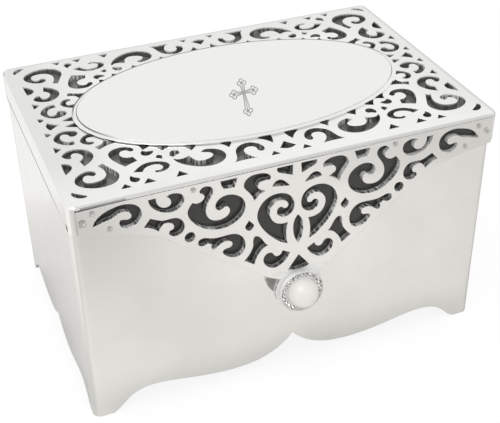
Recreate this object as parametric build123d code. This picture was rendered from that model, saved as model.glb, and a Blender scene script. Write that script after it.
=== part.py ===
from build123d import *
import math
import os

# Keepsake box with a pierced lid, a pierced front flap and a pearl knob, in millimetres.
# +Z is up, the flap looks towards -Y, and the feet stand on z = 0.

# Lid
LID_LENGTH = 158.0
LID_DEPTH = 105.8
BOX_HEIGHT = 93.3
RIM_HEIGHT = 10.8
LID_PLATE = 2.3
LID_WALL = 2.4
LID_CORNER = 3.0
LID_EDGE_ROUND = 1.2
LID_INNER_CORNER = 0.8

# Body
BODY_SIDE_INSET = 0.4
BODY_FRONT_INSET = 2.1
BODY_BACK_INSET = 1.0
BODY_WALL = 2.2
BODY_CORNER = 3.2
LID_GAP = 0.3
LEDGE_WIDTH = 2.0
LEDGE_THICKNESS = 1.4
LEDGE_HEIGHT = 16.4

# Front flap: it leans outwards from the lid's front top edge
FLAP_THICKNESS = 2.2
FLAP_LEAN = 3.776
FLAP_DROP = 51.3
FLAP_END_GAP = 0.05
FLAP_EDGE_DROP = 1.25
SEAM_GAP = 0.08
SEAM_DIP = 0.55
SEAM_DIP_LENGTH = 18.5
FLAP_CORNER_HEIGHT = 9.9
SEAT_CLEARANCE = 0.15
DIMPLE_DEPTH_SHARE = 0.5

# Thin gloss sheets behind the piercings
SHEET_THICKNESS = 0.3
SHEET_MARGIN = 0.4
FLAP_SHEET_INSET = 1.2

# Oval plaque
PLAQUE_LENGTH = 126.8
PLAQUE_WIDTH = 73.6
PLAQUE_STEP = 1.7
PLAQUE_BASE = 0.7
PLAQUE_RISE = 0.3
PLAQUE_EDGE_ROUND = 0.25
LINE_DEPTH = 0.15
LINE_WIDTH = 0.36

# Knob
STEM_RADIUS = 1.2
STEM_FIT = 0.05
COLLAR_RADIUS = 2.6
COLLAR_HEIGHT = 0.5
STEM_HEAD_RADIUS = 2.0
STEM_HEAD_HEIGHT = 0.6
WASHER_RADIUS = 3.0
WASHER_THICKNESS = 0.4
BEZEL_RADIUS = 8.4
BEZEL_FOOT_RADIUS = 7.6
BEZEL_BASE = 0.9
BEZEL_LIP = 0.35
BEZEL_HEIGHT = 2.5
STONE_SEAT = 1.0
PEARL_RADIUS = 5.75
PEARL_FIT = 0.1
PEARL_GIRDLE = 1.8
STONE_COUNT = 24
STONE_SIDES = 8
STONE_RADIUS = 0.85
STONE_HEIGHT = 0.7
STONE_SLOPE = 35.0
KNOB_TIP_RADIUS = 9.0
KNOB_TIP_ANGLE = 38.0

# Bumpers in the lower edge of the lid's sides
BUMPER_RADIUS = 1.3
BUMPER_SETBACK = 4.3
BUMPER_FIT = 0.05
BUMPER_REST = 0.02
PLUG_RECESS = 0.1

# Hinge
HINGE_LENGTH = 60.0
KNUCKLES = 5
KNUCKLE_GAP = 0.3
BARREL_RADIUS = 2.0
BARREL_CLEARANCE = 0.2
PIN_RADIUS = 0.9
PIN_FIT = 0.05
PIN_HEAD_RADIUS = 1.6
PIN_HEAD_HEIGHT = 0.6
LEAF_THICKNESS = 0.8
LEAF_CLEARANCE = 0.4
BODY_LEAF_HEIGHT = 10.0
LID_LEAF_HEIGHT = 6.0
WEB_THICKNESS = 1.2
WEB_DROP = 0.25
RIVETS = 3
RIVET_SPACING = 22.0
RIVET_RADIUS = 0.9
RIVET_HEAD_RADIUS = 1.5
RIVET_HEAD_HEIGHT = 0.7
RIVET_HEAD_ROUND = 0.45
RIVET_FIT = 0.05
OPEN_ANGLE = 100.0
STOP_REACH = 4.4
STOP_THICKNESS = 0.9
STOP_CLEARANCE = 0.06

# Floor, linings and lid liner
FLOOR_THICKNESS = 1.5
FLOOR_CLEARANCE = 0.2
SOFT_CLEARANCE = 0.3
FLOOR_PAD_THICKNESS = 3.0
LINING_THICKNESS = 1.2
LINING_DROP = 1.7
LINER_THICKNESS = 1.6
LINER_MARGIN = 0.8
SOFT_ROUND = 0.5

# Sizes that the hand-picked outlines were drawn for, and where their middles lie on the lid
DRAWN_LENGTH = 158.0
DRAWN_DEPTH = 105.8
DRAWN_TOP = 93.3
DRAWN_DROP = 51.3
PATTERN_X = 0.2
PATTERN_Y = 1.0
FLAP_PATTERN_X = -0.2

# Piercings of one quarter of the lid top, measured from the middle of the pattern.
# Each hole is a ring of runs. A run of two points is straight, a longer run is a smooth curve,
# and the ring has a corner wherever two runs meet.
QUARTER_HOLES = [
    # row of small triangles along the long edge
    [[(4.1, 48.9), (7.5, 48.9)], [(7.5, 48.9), (5.7, 46.5)], [(5.7, 46.5), (4.1, 48.9)]],
    [[(37.1, 49.0), (41.3, 49.0)], [(41.3, 49.0), (39.3, 45.9)], [(39.3, 45.9), (37.1, 49.0)]],
    [[(48.1, 48.9), (52.3, 48.9)], [(52.3, 48.9), (50.2, 46.1)], [(50.2, 46.1), (48.1, 48.9)]],
    [[(56.5, 49.1), (60.1, 49.1)], [(60.1, 49.1), (58.2, 46.6)], [(58.2, 46.6), (56.5, 49.1)]],
    # crescent in the corner
    [[(70.9, 48.5), (72.2, 49.3), (74.0, 48.9), (75.3, 47.5), (75.7, 45.6), (75.2, 44.9)],
     [(75.2, 44.9), (73.2, 46.8), (70.9, 48.5)]],
    # teardrop beside the corner scroll
    [[(54.9, 42.5), (54.3, 43.6), (53.2, 44.4), (52.7, 45.4), (53.3, 46.5), (54.5, 46.9),
      (55.6, 46.2), (55.9, 44.7), (54.9, 42.5)]],
    # small hooked scroll
    [[(46.7, 43.6), (45.4, 44.0), (43.6, 43.7), (41.8, 42.5), (41.0, 40.7), (41.7, 38.9), (43.5, 37.6),
      (46.0, 36.9), (48.6, 37.1), (50.8, 38.3), (53.5, 40.8)],
     [(53.5, 40.8), (50.6, 41.8)],
     [(50.6, 41.8), (49.8, 40.4), (48.4, 39.3), (46.5, 38.8), (44.8, 39.0), (43.7, 39.9), (43.4, 41.3),
      (44.2, 42.4), (45.3, 42.8), (46.3, 42.6), (46.7, 43.6)]],
    # broad scroll of the long side
    [[(28.6, 37.4), (27.0, 36.3), (25.2, 36.5), (23.2, 37.5), (21.8, 39.3), (21.3, 41.4), (21.9, 43.6),
      (23.6, 45.5), (26.2, 46.7), (29.0, 46.8), (32.0, 46.0), (35.0, 44.1), (37.2, 41.8), (38.5, 39.2),
      (38.6, 37.6)],
     [(38.6, 37.6), (37.2, 38.9), (35.2, 38.9), (33.2, 38.0)],
     [(33.2, 38.0), (32.8, 39.9), (31.9, 41.6), (30.4, 42.6), (28.5, 42.6), (26.6, 41.9), (25.4, 40.5),
      (25.6, 39.2), (26.6, 38.4), (28.6, 37.4)]],
    # swan neck beside the middle
    [[(12.2, 48.1), (16.2, 47.9), (20.4, 48.1)],
     [(20.4, 48.1), (19.2, 46.7), (18.5, 44.9), (18.0, 42.7), (17.2, 40.7), (15.8, 39.1), (13.8, 38.1),
      (11.8, 37.9), (9.8, 38.7), (8.3, 40.5), (7.7, 42.6), (8.1, 44.1), (9.1, 44.7), (10.1, 44.2),
      (10.3, 42.2), (11.0, 41.0), (12.3, 40.5), (13.8, 40.9), (14.9, 42.1), (15.1, 43.7), (14.6, 45.3),
      (13.7, 46.7), (12.2, 48.1)]],
    # thorns that run in under the oval plaque
    [[(2.6, 35.6), (2.9, 39.0), (3.8, 41.2)], [(3.8, 41.2), (4.8, 39.4), (6.2, 37.8), (8.6, 36.0)],
     [(8.6, 36.0), (2.6, 35.6)]],
    [[(16.6, 35.2), (18.7, 38.2)], [(18.7, 38.2), (19.8, 36.0), (21.2, 34.4)], [(21.2, 34.4), (16.6, 35.2)]],
    [[(28.6, 32.6), (31.2, 35.0)], [(31.2, 35.0), (31.9, 33.2), (33.0, 31.2)], [(33.0, 31.2), (28.6, 32.6)]],
    [[(37.4, 29.6), (40.5, 31.1)], [(40.5, 31.1), (41.0, 29.4), (42.2, 27.4)], [(42.2, 27.4), (37.4, 29.6)]],
    [[(43.0, 26.6), (46.5, 28.2)], [(46.5, 28.2), (46.7, 26.2), (47.8, 24.2)], [(47.8, 24.2), (43.0, 26.6)]],
    # beads between the scrolls and the plaque
    [[(35.4, 34.2), (36.0, 35.5), (37.1, 35.8), (38.2, 36.5), (39.0, 35.9), (38.9, 34.4), (38.2, 33.1),
      (36.8, 32.7), (35.4, 34.2)]],
    [[(41.6, 34.2), (42.0, 36.3)], [(42.0, 36.3), (43.9, 35.0)], [(43.9, 35.0), (42.7, 33.5), (41.6, 34.2)]],
    [[(46.6, 28.8), (46.0, 29.6), (44.8, 30.0), (43.4, 30.1)],
     [(43.4, 30.1), (44.4, 31.8), (46.0, 32.4), (47.5, 31.7), (47.8, 30.6), (46.6, 28.8)]],
    # broad hook with a square head
    [[(50.2, 34.2), (52.4, 35.1), (54.9, 36.3)],
     [(54.9, 36.3), (56.3, 34.1), (57.6, 31.3), (58.3, 28.5), (58.0, 26.2), (56.6, 24.6), (54.2, 23.8),
      (51.8, 24.0), (50.0, 25.2), (49.3, 26.6), (49.8, 27.5), (50.8, 27.4), (51.5, 26.5), (52.4, 26.1),
      (53.6, 26.3), (54.5, 27.4), (54.7, 28.9), (54.0, 30.3), (52.6, 31.1), (50.9, 31.4)],
     [(50.9, 31.4), (50.2, 34.2)]],
    # corner scroll
    [[(61.5, 31.4), (63.4, 32.4)],
     [(63.4, 32.4), (62.5, 34.3), (62.0, 36.4), (62.1, 38.4), (62.9, 40.0), (64.4, 41.2), (66.5, 41.7),
      (68.6, 41.4), (69.8, 40.5), (70.1, 39.0), (69.6, 37.6), (68.5, 36.8), (67.4, 37.1), (66.4, 37.8),
      (65.5, 37.4), (65.1, 36.3), (65.8, 34.9), (67.4, 34.2), (69.6, 34.8), (71.6, 36.3), (72.8, 38.5),
      (72.8, 40.9), (71.4, 43.1), (68.8, 44.8), (65.8, 45.6), (63.2, 45.4), (60.8, 44.5), (59.0, 42.5),
      (58.2, 39.7), (59.0, 37.0), (60.4, 34.0), (61.5, 31.4)]],
    # half moon on the short side
    [[(74.3, 26.2), (72.6, 26.9), (71.5, 28.4), (71.6, 30.4), (72.8, 32.2), (74.5, 33.8)],
     [(74.5, 33.8), (74.6, 30.2), (74.3, 26.2)]],
    # hooked scroll of the short side
    [[(68.2, 26.9), (67.4, 30.8)],
     [(67.4, 30.8), (65.2, 29.1), (63.4, 26.7), (62.8, 24.4), (63.4, 22.0), (65.0, 19.9), (67.4, 18.7),
      (69.8, 18.8), (71.8, 19.9), (73.0, 21.7), (72.4, 23.3), (71.2, 24.3), (70.4, 24.3), (70.1, 23.2),
      (69.8, 22.0), (69.0, 21.4), (68.0, 21.5), (67.0, 22.3), (66.4, 23.6), (66.4, 24.9), (67.1, 26.1),
      (68.2, 26.9)]],
    [[(71.8, 16.9), (74.4, 19.0)], [(74.4, 19.0), (74.3, 14.6)], [(74.3, 14.6), (71.8, 16.9)]],
    # open ring of the short side
    [[(66.7, 12.9), (66.8, 15.4)],
     [(66.8, 15.4), (68.6, 15.5), (70.7, 14.3), (72.4, 12.3), (73.0, 10.0), (72.2, 7.8), (70.8, 6.1),
      (68.8, 5.1), (66.6, 5.3), (64.8, 6.2), (64.0, 7.7), (64.6, 9.3), (65.8, 10.1), (67.0, 9.7),
      (67.4, 8.6), (68.2, 7.7), (69.4, 7.5), (70.4, 8.5), (70.6, 10.0), (70.0, 11.7), (68.6, 12.8),
      (66.7, 12.9)]],
    [[(72.7, 5.6), (73.8, 6.7), (74.7, 7.3)], [(74.7, 7.3), (75.0, 5.6), (74.7, 4.0)],
     [(74.7, 4.0), (73.6, 4.6), (72.7, 5.6)]],
    # thorns and hooks of the short side that run in under the plaque
    [[(61.6, 4.6), (64.8, 3.4), (67.2, 2.3)], [(67.2, 2.3), (65.2, 1.3), (62.4, 0.7)],
     [(62.4, 0.7), (61.6, 4.6)]],
    [[(60.3, 16.3), (60.9, 17.5), (62.2, 17.7), (63.8, 16.7), (64.7, 14.8), (64.1, 12.7), (62.8, 11.3),
      (60.8, 10.2)],
     [(60.8, 10.2), (58.6, 12.6)],
     [(58.6, 12.6), (60.4, 12.8), (61.8, 12.9), (62.6, 14.0), (62.3, 15.3), (61.3, 15.9), (60.3, 16.3)]],
    [[(60.0, 22.3), (61.0, 19.8)], [(61.0, 19.8), (59.2, 19.4), (57.9, 18.5), (57.2, 16.6)],
     [(57.2, 16.6), (52.8, 19.6)], [(52.8, 19.6), (56.8, 20.5), (60.0, 22.3)]],
]
# Piercings that sit on the middle lines: each is repeated on the opposite side only.
MIDDLE_HOLE_LONG = [[(-3.0, 45.4), (0.0, 46.7), (3.0, 45.4)], [(3.0, 45.4), (1.4, 43.6), (0.0, 41.8)],
                    [(0.0, 41.8), (-1.4, 43.6), (-3.0, 45.4)]]
MIDDLE_HOLE_SHORT = [[(72.3, 2.9), (73.3, 0.0), (72.3, -2.9)], [(72.3, -2.9), (70.3, -1.2), (68.4, 0.0)],
                     [(68.4, 0.0), (70.3, 1.2), (72.3, 2.9)]]

# Piercings of one half of the flap. Heights are along the flap, on the scale where 93.3 is the lid top.
FLAP_HALF_HOLES = [
    [[(1.5, 91.2), (7.2, 91.2)], [(7.2, 91.2), (7.3, 90.1), (6.6, 89.3)],
     [(6.6, 89.3), (4.6, 88.5), (1.7, 87.3)],
     [(1.7, 87.3), (1.5, 91.2)]],
    [[(2.8, 83.5), (4.2, 85.2), (6.8, 86.6), (8.4, 85.9), (9.2, 84.5)],
     [(9.2, 84.5), (6.2, 84.0), (2.8, 83.5)]],
    [[(10.0, 87.5), (9.8, 88.9), (11.4, 90.2), (14.3, 90.7), (17.2, 90.3), (19.0, 88.8), (19.4, 86.9),
      (18.5, 85.3), (17.2, 83.6), (16.0, 80.7)],
     [(16.0, 80.7), (14.2, 82.3), (11.8, 83.6)],
     [(11.8, 83.6), (13.4, 84.4), (14.5, 85.6), (14.1, 86.9), (12.5, 87.6), (10.0, 87.5)]],
    [[(21.6, 91.0), (27.6, 91.0)], [(27.6, 91.0), (27.2, 89.2), (26.5, 87.9)], [(26.5, 87.9), (22.7, 87.7)],
     [(22.7, 87.7), (21.6, 91.0)]],
    [[(37.6, 85.4), (39.0, 83.8), (39.6, 82.1), (39.3, 80.3), (38.0, 78.0), (35.5, 75.5), (32.2, 73.7),
      (28.5, 73.0), (25.0, 73.4), (22.0, 74.9), (19.9, 77.2), (19.2, 79.8), (19.9, 82.4), (22.2, 84.5),
      (25.5, 85.4), (28.1, 84.7), (29.6, 83.1), (29.8, 81.6), (29.1, 80.5), (28.0, 80.3), (27.0, 80.8),
      (26.1, 81.2), (25.2, 80.6), (24.8, 79.3), (25.4, 77.9), (27.0, 76.9), (29.2, 76.6), (31.3, 77.2),
      (32.8, 78.8), (33.3, 80.8), (33.0, 82.8), (32.0, 84.8), (30.8, 86.6), (30.3, 88.2), (30.9, 89.7),
      (32.5, 90.4), (34.2, 90.0), (35.0, 88.8), (34.3, 88.0), (33.4, 87.1), (33.9, 85.7), (35.2, 84.9),
      (37.6, 85.4)]],
    [[(46.3, 89.8), (45.0, 90.5), (42.8, 90.4), (41.0, 89.4), (40.4, 87.4), (41.3, 85.5), (43.2, 84.2),
      (45.5, 83.9), (48.2, 84.6), (50.4, 86.0), (51.9, 87.9), (52.5, 90.2)],
     [(52.5, 90.2), (49.9, 90.2)],
     [(49.9, 90.2), (49.8, 88.7), (49.2, 87.3), (47.8, 86.2), (46.2, 86.1), (45.1, 86.8), (44.9, 88.0),
      (46.3, 89.8)]],
    [[(52.4, 83.2), (50.4, 82.2), (48.4, 81.4), (45.6, 81.4), (43.3, 81.1), (41.7, 79.8), (41.0, 77.9),
      (41.4, 76.0), (42.8, 74.7), (44.4, 74.4), (45.8, 74.9), (46.5, 76.1), (46.0, 76.9), (45.0, 77.3),
      (44.6, 78.4), (45.2, 79.5), (46.6, 80.1), (48.0, 80.0), (49.2, 78.9), (50.0, 77.7)],
     [(50.0, 77.7), (52.2, 79.4), (54.8, 80.4)],
     [(54.8, 80.4), (52.4, 83.2)]],
    [[(71.4, 84.9), (70.9, 86.2), (69.6, 87.7), (67.4, 89.2), (64.4, 90.2), (61.4, 90.7), (58.8, 90.4),
      (56.6, 89.4), (55.2, 87.5), (55.1, 85.3), (56.0, 83.4), (57.9, 82.1), (60.1, 81.7), (61.9, 82.4),
      (62.7, 83.8), (62.2, 85.1), (61.0, 85.1), (59.6, 84.9), (58.6, 85.5), (58.6, 86.7), (59.7, 87.7),
      (61.4, 88.0), (63.2, 87.4), (64.8, 86.5), (66.8, 86.1), (68.6, 85.6), (71.4, 84.9)]],
    [[(18.2, 73.7), (18.9, 72.5), (19.6, 71.3), (19.1, 70.0), (17.9, 69.4)],
     [(17.9, 69.4), (16.9, 70.1), (16.5, 71.3), (17.3, 72.5), (18.2, 73.7)]],
    [[(39.2, 74.5), (40.6, 74.0), (41.3, 72.7), (40.9, 71.4), (39.6, 70.7), (38.2, 71.2), (37.6, 72.5),
      (37.9, 73.8), (39.2, 74.5)]],
    [[(36.8, 69.2), (36.2, 70.5), (34.8, 70.9), (33.2, 70.5), (31.0, 69.9), (28.2, 69.8), (25.4, 69.9),
      (22.8, 69.4), (20.9, 67.8), (19.9, 65.4), (20.1, 62.9), (21.3, 61.0), (23.4, 60.3), (25.6, 60.8),
      (27.5, 62.2), (28.2, 63.6), (27.4, 64.5), (26.0, 64.7), (24.8, 65.3), (24.6, 66.4), (25.4, 67.3),
      (27.0, 67.6), (28.8, 67.0), (30.2, 66.0), (31.5, 65.5), (32.1, 66.3), (31.8, 67.6)],
     [(31.8, 67.6), (33.4, 68.5)],
     [(33.4, 68.5), (34.6, 67.9), (36.0, 68.1), (36.8, 69.2)]],
    [[(3.9, 69.2), (6.8, 69.3), (8.6, 70.2), (9.9, 71.9), (10.5, 73.9), (10.2, 76.0), (8.9, 77.7), (7.2, 78.5),
      (5.4, 78.3), (4.0, 77.4), (3.5, 76.2), (4.1, 75.2), (5.0, 75.1), (5.8, 75.7), (6.7, 75.9),
      (7.6, 75.1), (7.8, 73.8), (6.9, 72.4), (5.2, 71.7), (3.4, 72.0), (2.0, 73.2), (1.3, 75.4), (1.6, 77.6),
      (3.0, 79.8), (5.4, 81.1), (8.2, 81.4), (11.0, 80.6), (13.2, 78.9), (14.6, 76.6), (15.1, 74.2),
      (14.6, 71.6), (13.3, 69.0), (11.4, 66.3), (9.0, 63.8), (6.8, 61.9), (4.1, 60.6)],
     [(4.1, 60.6), (4.6, 64.6), (3.9, 69.2)]],
    [[(11.4, 61.7), (13.1, 63.8), (15.0, 66.3), (16.1, 66.6), (16.8, 65.7), (17.0, 63.3), (17.9, 60.9),
      (20.5, 57.8)],
     [(20.5, 57.8), (16.9, 55.3)],
     [(16.9, 55.3), (16.2, 57.3), (15.0, 59.3), (13.5, 60.8), (11.4, 61.7)]],
    [[(3.3, 56.6), (6.2, 58.2)],
     [(6.2, 58.2), (6.9, 56.8), (8.1, 56.3), (9.2, 56.9), (9.9, 58.0), (11.0, 58.5), (12.5, 58.0), (13.4, 56.4),
      (13.1, 54.5), (11.8, 52.9), (9.6, 51.8), (7.4, 52.2), (5.2, 53.7), (3.3, 56.6)]],
]

# Small dimples near each end of the flap: middle and radius
FLAP_DIMPLES = [((66.0, 83.2), 0.8), ((37.2, 90.3), 0.85), ((71.1, 90.1), 0.85), ((74.5, 87.4), 1.15)]
FLAP_MIDDLE_HOLES = [
    [[(0.0, 71.3), (1.4, 69.2), (1.9, 65.9), (1.4, 62.4), (0.0, 59.7)],
     [(0.0, 59.7), (-1.4, 62.4), (-1.9, 65.9), (-1.4, 69.2), (0.0, 71.3)]],
    [[(0.0, 54.8), (2.3, 51.9), (4.1, 49.4)], [(4.1, 49.4), (0.0, 48.6), (-4.1, 49.4)],
     [(-4.1, 49.4), (-2.3, 51.9), (0.0, 54.8)]],
]

# Lower edge of one half of the flap: a curve from the end, then a straight run to the round tip under the knob.
FLAP_EDGE_CURVE = [(70.0, 81.0), (66.0, 80.4), (60.0, 78.9), (55.0, 77.2), (50.5, 75.9)]
FLAP_TIP_START = (11.5, 48.0)
KNOB_DRAWN_HEIGHT = 40.5

# Lower edge of half of the front and half of a side, from the middle to the foot.
FRONT_APRON = [(0.0, 15.0), (3.0, 11.8), (7.5, 8.6), (14.0, 6.0), (22.0, 5.0), (31.0, 5.3), (44.0, 7.3),
               (54.5, 8.7), (61.0, 7.8), (66.0, 4.6), (69.0, 1.6), (71.5, 0.0)]
SIDE_APRON = [(0.0, 11.0), (2.5, 8.8), (6.5, 6.8), (12.0, 5.4), (19.0, 5.2), (28.0, 7.0), (35.0, 8.0),
              (40.0, 6.6), (43.5, 3.4), (46.5, 0.0)]

# Budded cross on the plaque: the angle and length of each arm up to its bud, and the sizes of a bud. It is
# drawn square, then stretched along the plaque's width and leaned.
CROSS_CENTRE = (-0.16, -5.16)
CROSS_STRETCH = 1.874
CROSS_LEAN = 0.519
CROSS_RISE = 0.058
CROSS_ARMS = [(90.0, 3.9), (0.0, 3.9), (180.0, 3.9), (270.0, 7.3)]
ARM_HALF_WIDTH = 0.35
BUD_HALF_WIDTH = 0.85
LOBE_RADIUS = 0.72
LOBE_REACH = 1.05
BUD_MARK = 0.6

# How far a cutting solid runs past what it cuts
OVERRUN = 1.0

# Width of the cross's middle lines against its outline
MIDDLE_LINE_SHARE = 0.75

# Sizes worked out from the ones above
half_length = LID_LENGTH / 2
half_depth = LID_DEPTH / 2
parting = BOX_HEIGHT - RIM_HEIGHT
body_top = parting - LID_GAP
plate_bottom = BOX_HEIGHT - LID_PLATE
lid_inner_x = half_length - LID_WALL
lid_inner_back = half_depth - LID_WALL
body_half_x = half_length - BODY_SIDE_INSET
body_front = -half_depth + BODY_FRONT_INSET
body_back = half_depth - BODY_BACK_INSET
body_mid_y = (body_front + body_back) / 2
body_half_y = (body_back - body_front) / 2
inner_half_x = body_half_x - BODY_WALL
inner_half_y = body_half_y - BODY_WALL
stretch_x = LID_LENGTH / DRAWN_LENGTH
stretch_y = LID_DEPTH / DRAWN_DEPTH
stretch_drop = FLAP_DROP / DRAWN_DROP
lean = math.radians(FLAP_LEAN)
flap_outwards = (0, -math.cos(lean), math.sin(lean))
flap_plane = Plane(origin=(0, -half_depth, BOX_HEIGHT), x_dir=(1, 0, 0), z_dir=flap_outwards)
hinge_y = half_depth + BARREL_CLEARANCE + BARREL_RADIUS
hinge_z = (parting + body_top) / 2


def slab(x_low, x_high, y_low, y_high, z_low, z_high):
    """A box given by its limits."""
    block = Box(x_high - x_low, y_high - y_low, z_high - z_low)
    return Pos((x_low + x_high) / 2, (y_low + y_high) / 2, (z_low + z_high) / 2) * block


def rounded_block(half_x, half_y, radius, z_low, z_high, mid_y=0.0):
    """An upright block with rounded vertical corners."""
    outline = Pos(0, mid_y, z_low) * RectangleRounded(2 * half_x, 2 * half_y, radius)
    return extrude(outline, amount=z_high - z_low)


def run_edge(points, is_ring):
    """One run of an outline: straight between two points, a smooth curve through more."""
    if len(points) == 2:
        return Edge.make_line(*points)
    if is_ring and len(points) <= 5:
        return Edge.make_spline(points[:-1], periodic=True)
    return Edge.make_spline(points)


def ring(runs, place):
    """The closed wire of one piercing, with each drawn point put in place."""
    edges = [run_edge([place(point) for point in run], len(runs) == 1) for run in runs]
    return Wire(edges)


def lid_place(sign_x, sign_y):
    """Puts a drawn point of the lid pattern in one of the four quarters."""
    def place(point):
        x = PATTERN_X + sign_x * point[0] * stretch_x
        y = PATTERN_Y + sign_y * point[1] * stretch_y
        return (x, y, 0)
    return place


def flap_point(sign, point):
    """Puts a drawn point of the flap pattern in the flap's own plane."""
    x = FLAP_PATTERN_X + sign * point[0] * stretch_x
    y = (point[1] - DRAWN_TOP) * stretch_drop
    return (x, y, 0)


def flap_place(sign):
    """Puts a drawn point of the flap pattern on one half of the flap."""
    return lambda point: flap_point(sign, point)


def lid_rings():
    """All piercings of the lid top."""
    rings = []
    for sign_x in (1, -1):
        for sign_y in (1, -1):
            rings += [ring(hole, lid_place(sign_x, sign_y)) for hole in QUARTER_HOLES]
    rings += [ring(MIDDLE_HOLE_LONG, lid_place(1, sign)) for sign in (1, -1)]
    rings += [ring(MIDDLE_HOLE_SHORT, lid_place(sign, 1)) for sign in (1, -1)]
    return rings


def bumper_places():
    """Middles of the two bumpers, on the outer faces of the lid's sides."""
    y = -half_depth + BUMPER_SETBACK
    z = body_top + BUMPER_RADIUS + BUMPER_REST
    return [(sign * (half_length - LID_WALL / 2), y, z) for sign in (1, -1)]


def across(length, radius, x, y, z):
    """A cylinder along X."""
    return Pos(x, y, z) * Rot(0, 90, 0) * Cylinder(radius, length)


def rivet_xs():
    """Places of the hinge rivets along X."""
    return [(index - (RIVETS - 1) / 2) * RIVET_SPACING for index in range(RIVETS)]


lid_leaf_bottom = hinge_z + BARREL_RADIUS + LEAF_CLEARANCE
lid_rivet_z = lid_leaf_bottom + LID_LEAF_HEIGHT / 2
body_leaf_top = hinge_z - BARREL_RADIUS - LEAF_CLEARANCE
body_rivet_z = body_leaf_top - BODY_LEAF_HEIGHT / 2


def rivet_holes(z, y_low, y_high):
    """Cylinders along Y that clear the rivet shanks."""
    length = y_high - y_low
    middle = (y_low + y_high) / 2
    drill = Rot(90, 0, 0) * Cylinder(RIVET_RADIUS + RIVET_FIT, length)
    return [Pos(x, middle, z) * drill for x in rivet_xs()]


def lid_shell():
    """Pierced top plate with the skirt of the two sides and the back, cast in one."""
    outline = RectangleRounded(LID_LENGTH, LID_DEPTH, LID_CORNER).face().outer_wire()
    plate = extrude(Pos(0, 0, plate_bottom) * Face(outline, lid_rings()), amount=LID_PLATE, dir=(0, 0, 1))
    top_edges = plate.faces().sort_by(Axis.Z)[-1].outer_wire().edges()
    plate = fillet(top_edges, LID_EDGE_ROUND)
    skirt = rounded_block(half_length, half_depth, LID_CORNER, parting, plate_bottom)
    skirt -= rounded_block(lid_inner_x, lid_inner_back, LID_INNER_CORNER, parting, plate_bottom)
    skirt -= slab(-lid_inner_x, lid_inner_x, -half_depth - OVERRUN, 0, parting, plate_bottom)
    for x, y, z in bumper_places():
        skirt -= across(LID_WALL + OVERRUN, BUMPER_RADIUS + BUMPER_FIT, x, y, z)
    for hole in rivet_holes(lid_rivet_z, lid_inner_back - OVERRUN, half_depth + OVERRUN):
        skirt -= hole
    seat_depth = FLAP_THICKNESS + SHEET_THICKNESS + SEAT_CLEARANCE
    seat_top = BOX_HEIGHT - FLAP_EDGE_DROP
    seat_back = -half_depth + seat_depth
    seat = slab(-lid_inner_x, lid_inner_x, -half_depth - OVERRUN, seat_back, plate_bottom - OVERRUN, seat_top)
    return plate + skirt - seat


def tip_joint(sign):
    """Where the flap's lower edge meets its round tip, on one side."""
    turn = math.radians(KNOB_TIP_ANGLE)
    middle = (KNOB_DRAWN_HEIGHT - DRAWN_TOP) * stretch_drop
    x = FLAP_PATTERN_X + sign * KNOB_TIP_RADIUS * math.cos(turn)
    return (x, middle + KNOB_TIP_RADIUS * math.sin(turn), 0)


def flap_outline():
    """Outer edge of the flap in its own plane."""
    end_x = lid_inner_x - FLAP_END_GAP
    top = -(FLAP_EDGE_DROP + SEAM_GAP) / math.cos(lean)
    corner = top - FLAP_CORNER_HEIGHT
    tip_y = (KNOB_DRAWN_HEIGHT - DRAWN_TOP) * stretch_drop
    right = [flap_point(1, point) for point in FLAP_EDGE_CURVE]
    left = [flap_point(-1, point) for point in FLAP_EDGE_CURVE]
    start = flap_point(1, FLAP_TIP_START)
    finish = flap_point(-1, FLAP_TIP_START)
    lowest = (FLAP_PATTERN_X, tip_y - KNOB_TIP_RADIUS, 0)
    edges = [
        Edge.make_line((-end_x, top - SEAM_DIP, 0), (SEAM_DIP_LENGTH - end_x, top, 0)),
        Edge.make_line((SEAM_DIP_LENGTH - end_x, top, 0), (end_x, top, 0)),
        Edge.make_line((end_x, top, 0), (end_x, corner, 0)),
        Edge.make_spline([(end_x, corner, 0)] + right),
        Edge.make_line(right[-1], start),
        Edge.make_line(start, tip_joint(1)),
        Edge.make_three_point_arc(tip_joint(1), lowest, tip_joint(-1)),
        Edge.make_line(tip_joint(-1), finish),
        Edge.make_line(finish, left[-1]),
        Edge.make_spline(left[::-1] + [(-end_x, corner, 0)]),
        Edge.make_line((-end_x, corner, 0), (-end_x, top - SEAM_DIP, 0)),
    ]
    return Wire(edges)


knob_x = FLAP_PATTERN_X
knob_y = (KNOB_DRAWN_HEIGHT - DRAWN_TOP) * stretch_drop


def front_flap():
    """Pierced flap with the hole for the knob's stem."""
    holes = [ring(hole, flap_place(sign)) for sign in (1, -1) for hole in FLAP_HALF_HOLES]
    holes += [ring(hole, flap_place(1)) for hole in FLAP_MIDDLE_HOLES]
    holes.append(Wire.make_circle(STEM_RADIUS + STEM_FIT, Plane((knob_x, knob_y, 0))))
    plate = extrude(Face(flap_outline(), holes), amount=FLAP_THICKNESS, dir=(0, 0, -1))
    for middle, radius in FLAP_DIMPLES:
        depth = radius * DIMPLE_DEPTH_SHARE
        ball = (radius ** 2 + depth ** 2) / (2 * depth)
        for sign in (1, -1):
            x, y, _ = flap_point(sign, middle)
            plate -= Pos(x, y, ball - depth) * Sphere(ball)
    return flap_plane.location * plate


def top_backing_sheet():
    """Gloss sheet under the lid top."""
    half_x = lid_inner_x - SHEET_MARGIN
    front = -half_depth + FLAP_THICKNESS + SHEET_THICKNESS + SEAT_CLEARANCE
    back = lid_inner_back - SHEET_MARGIN
    return slab(-half_x, half_x, front, back, plate_bottom - SHEET_THICKNESS, plate_bottom)


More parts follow.
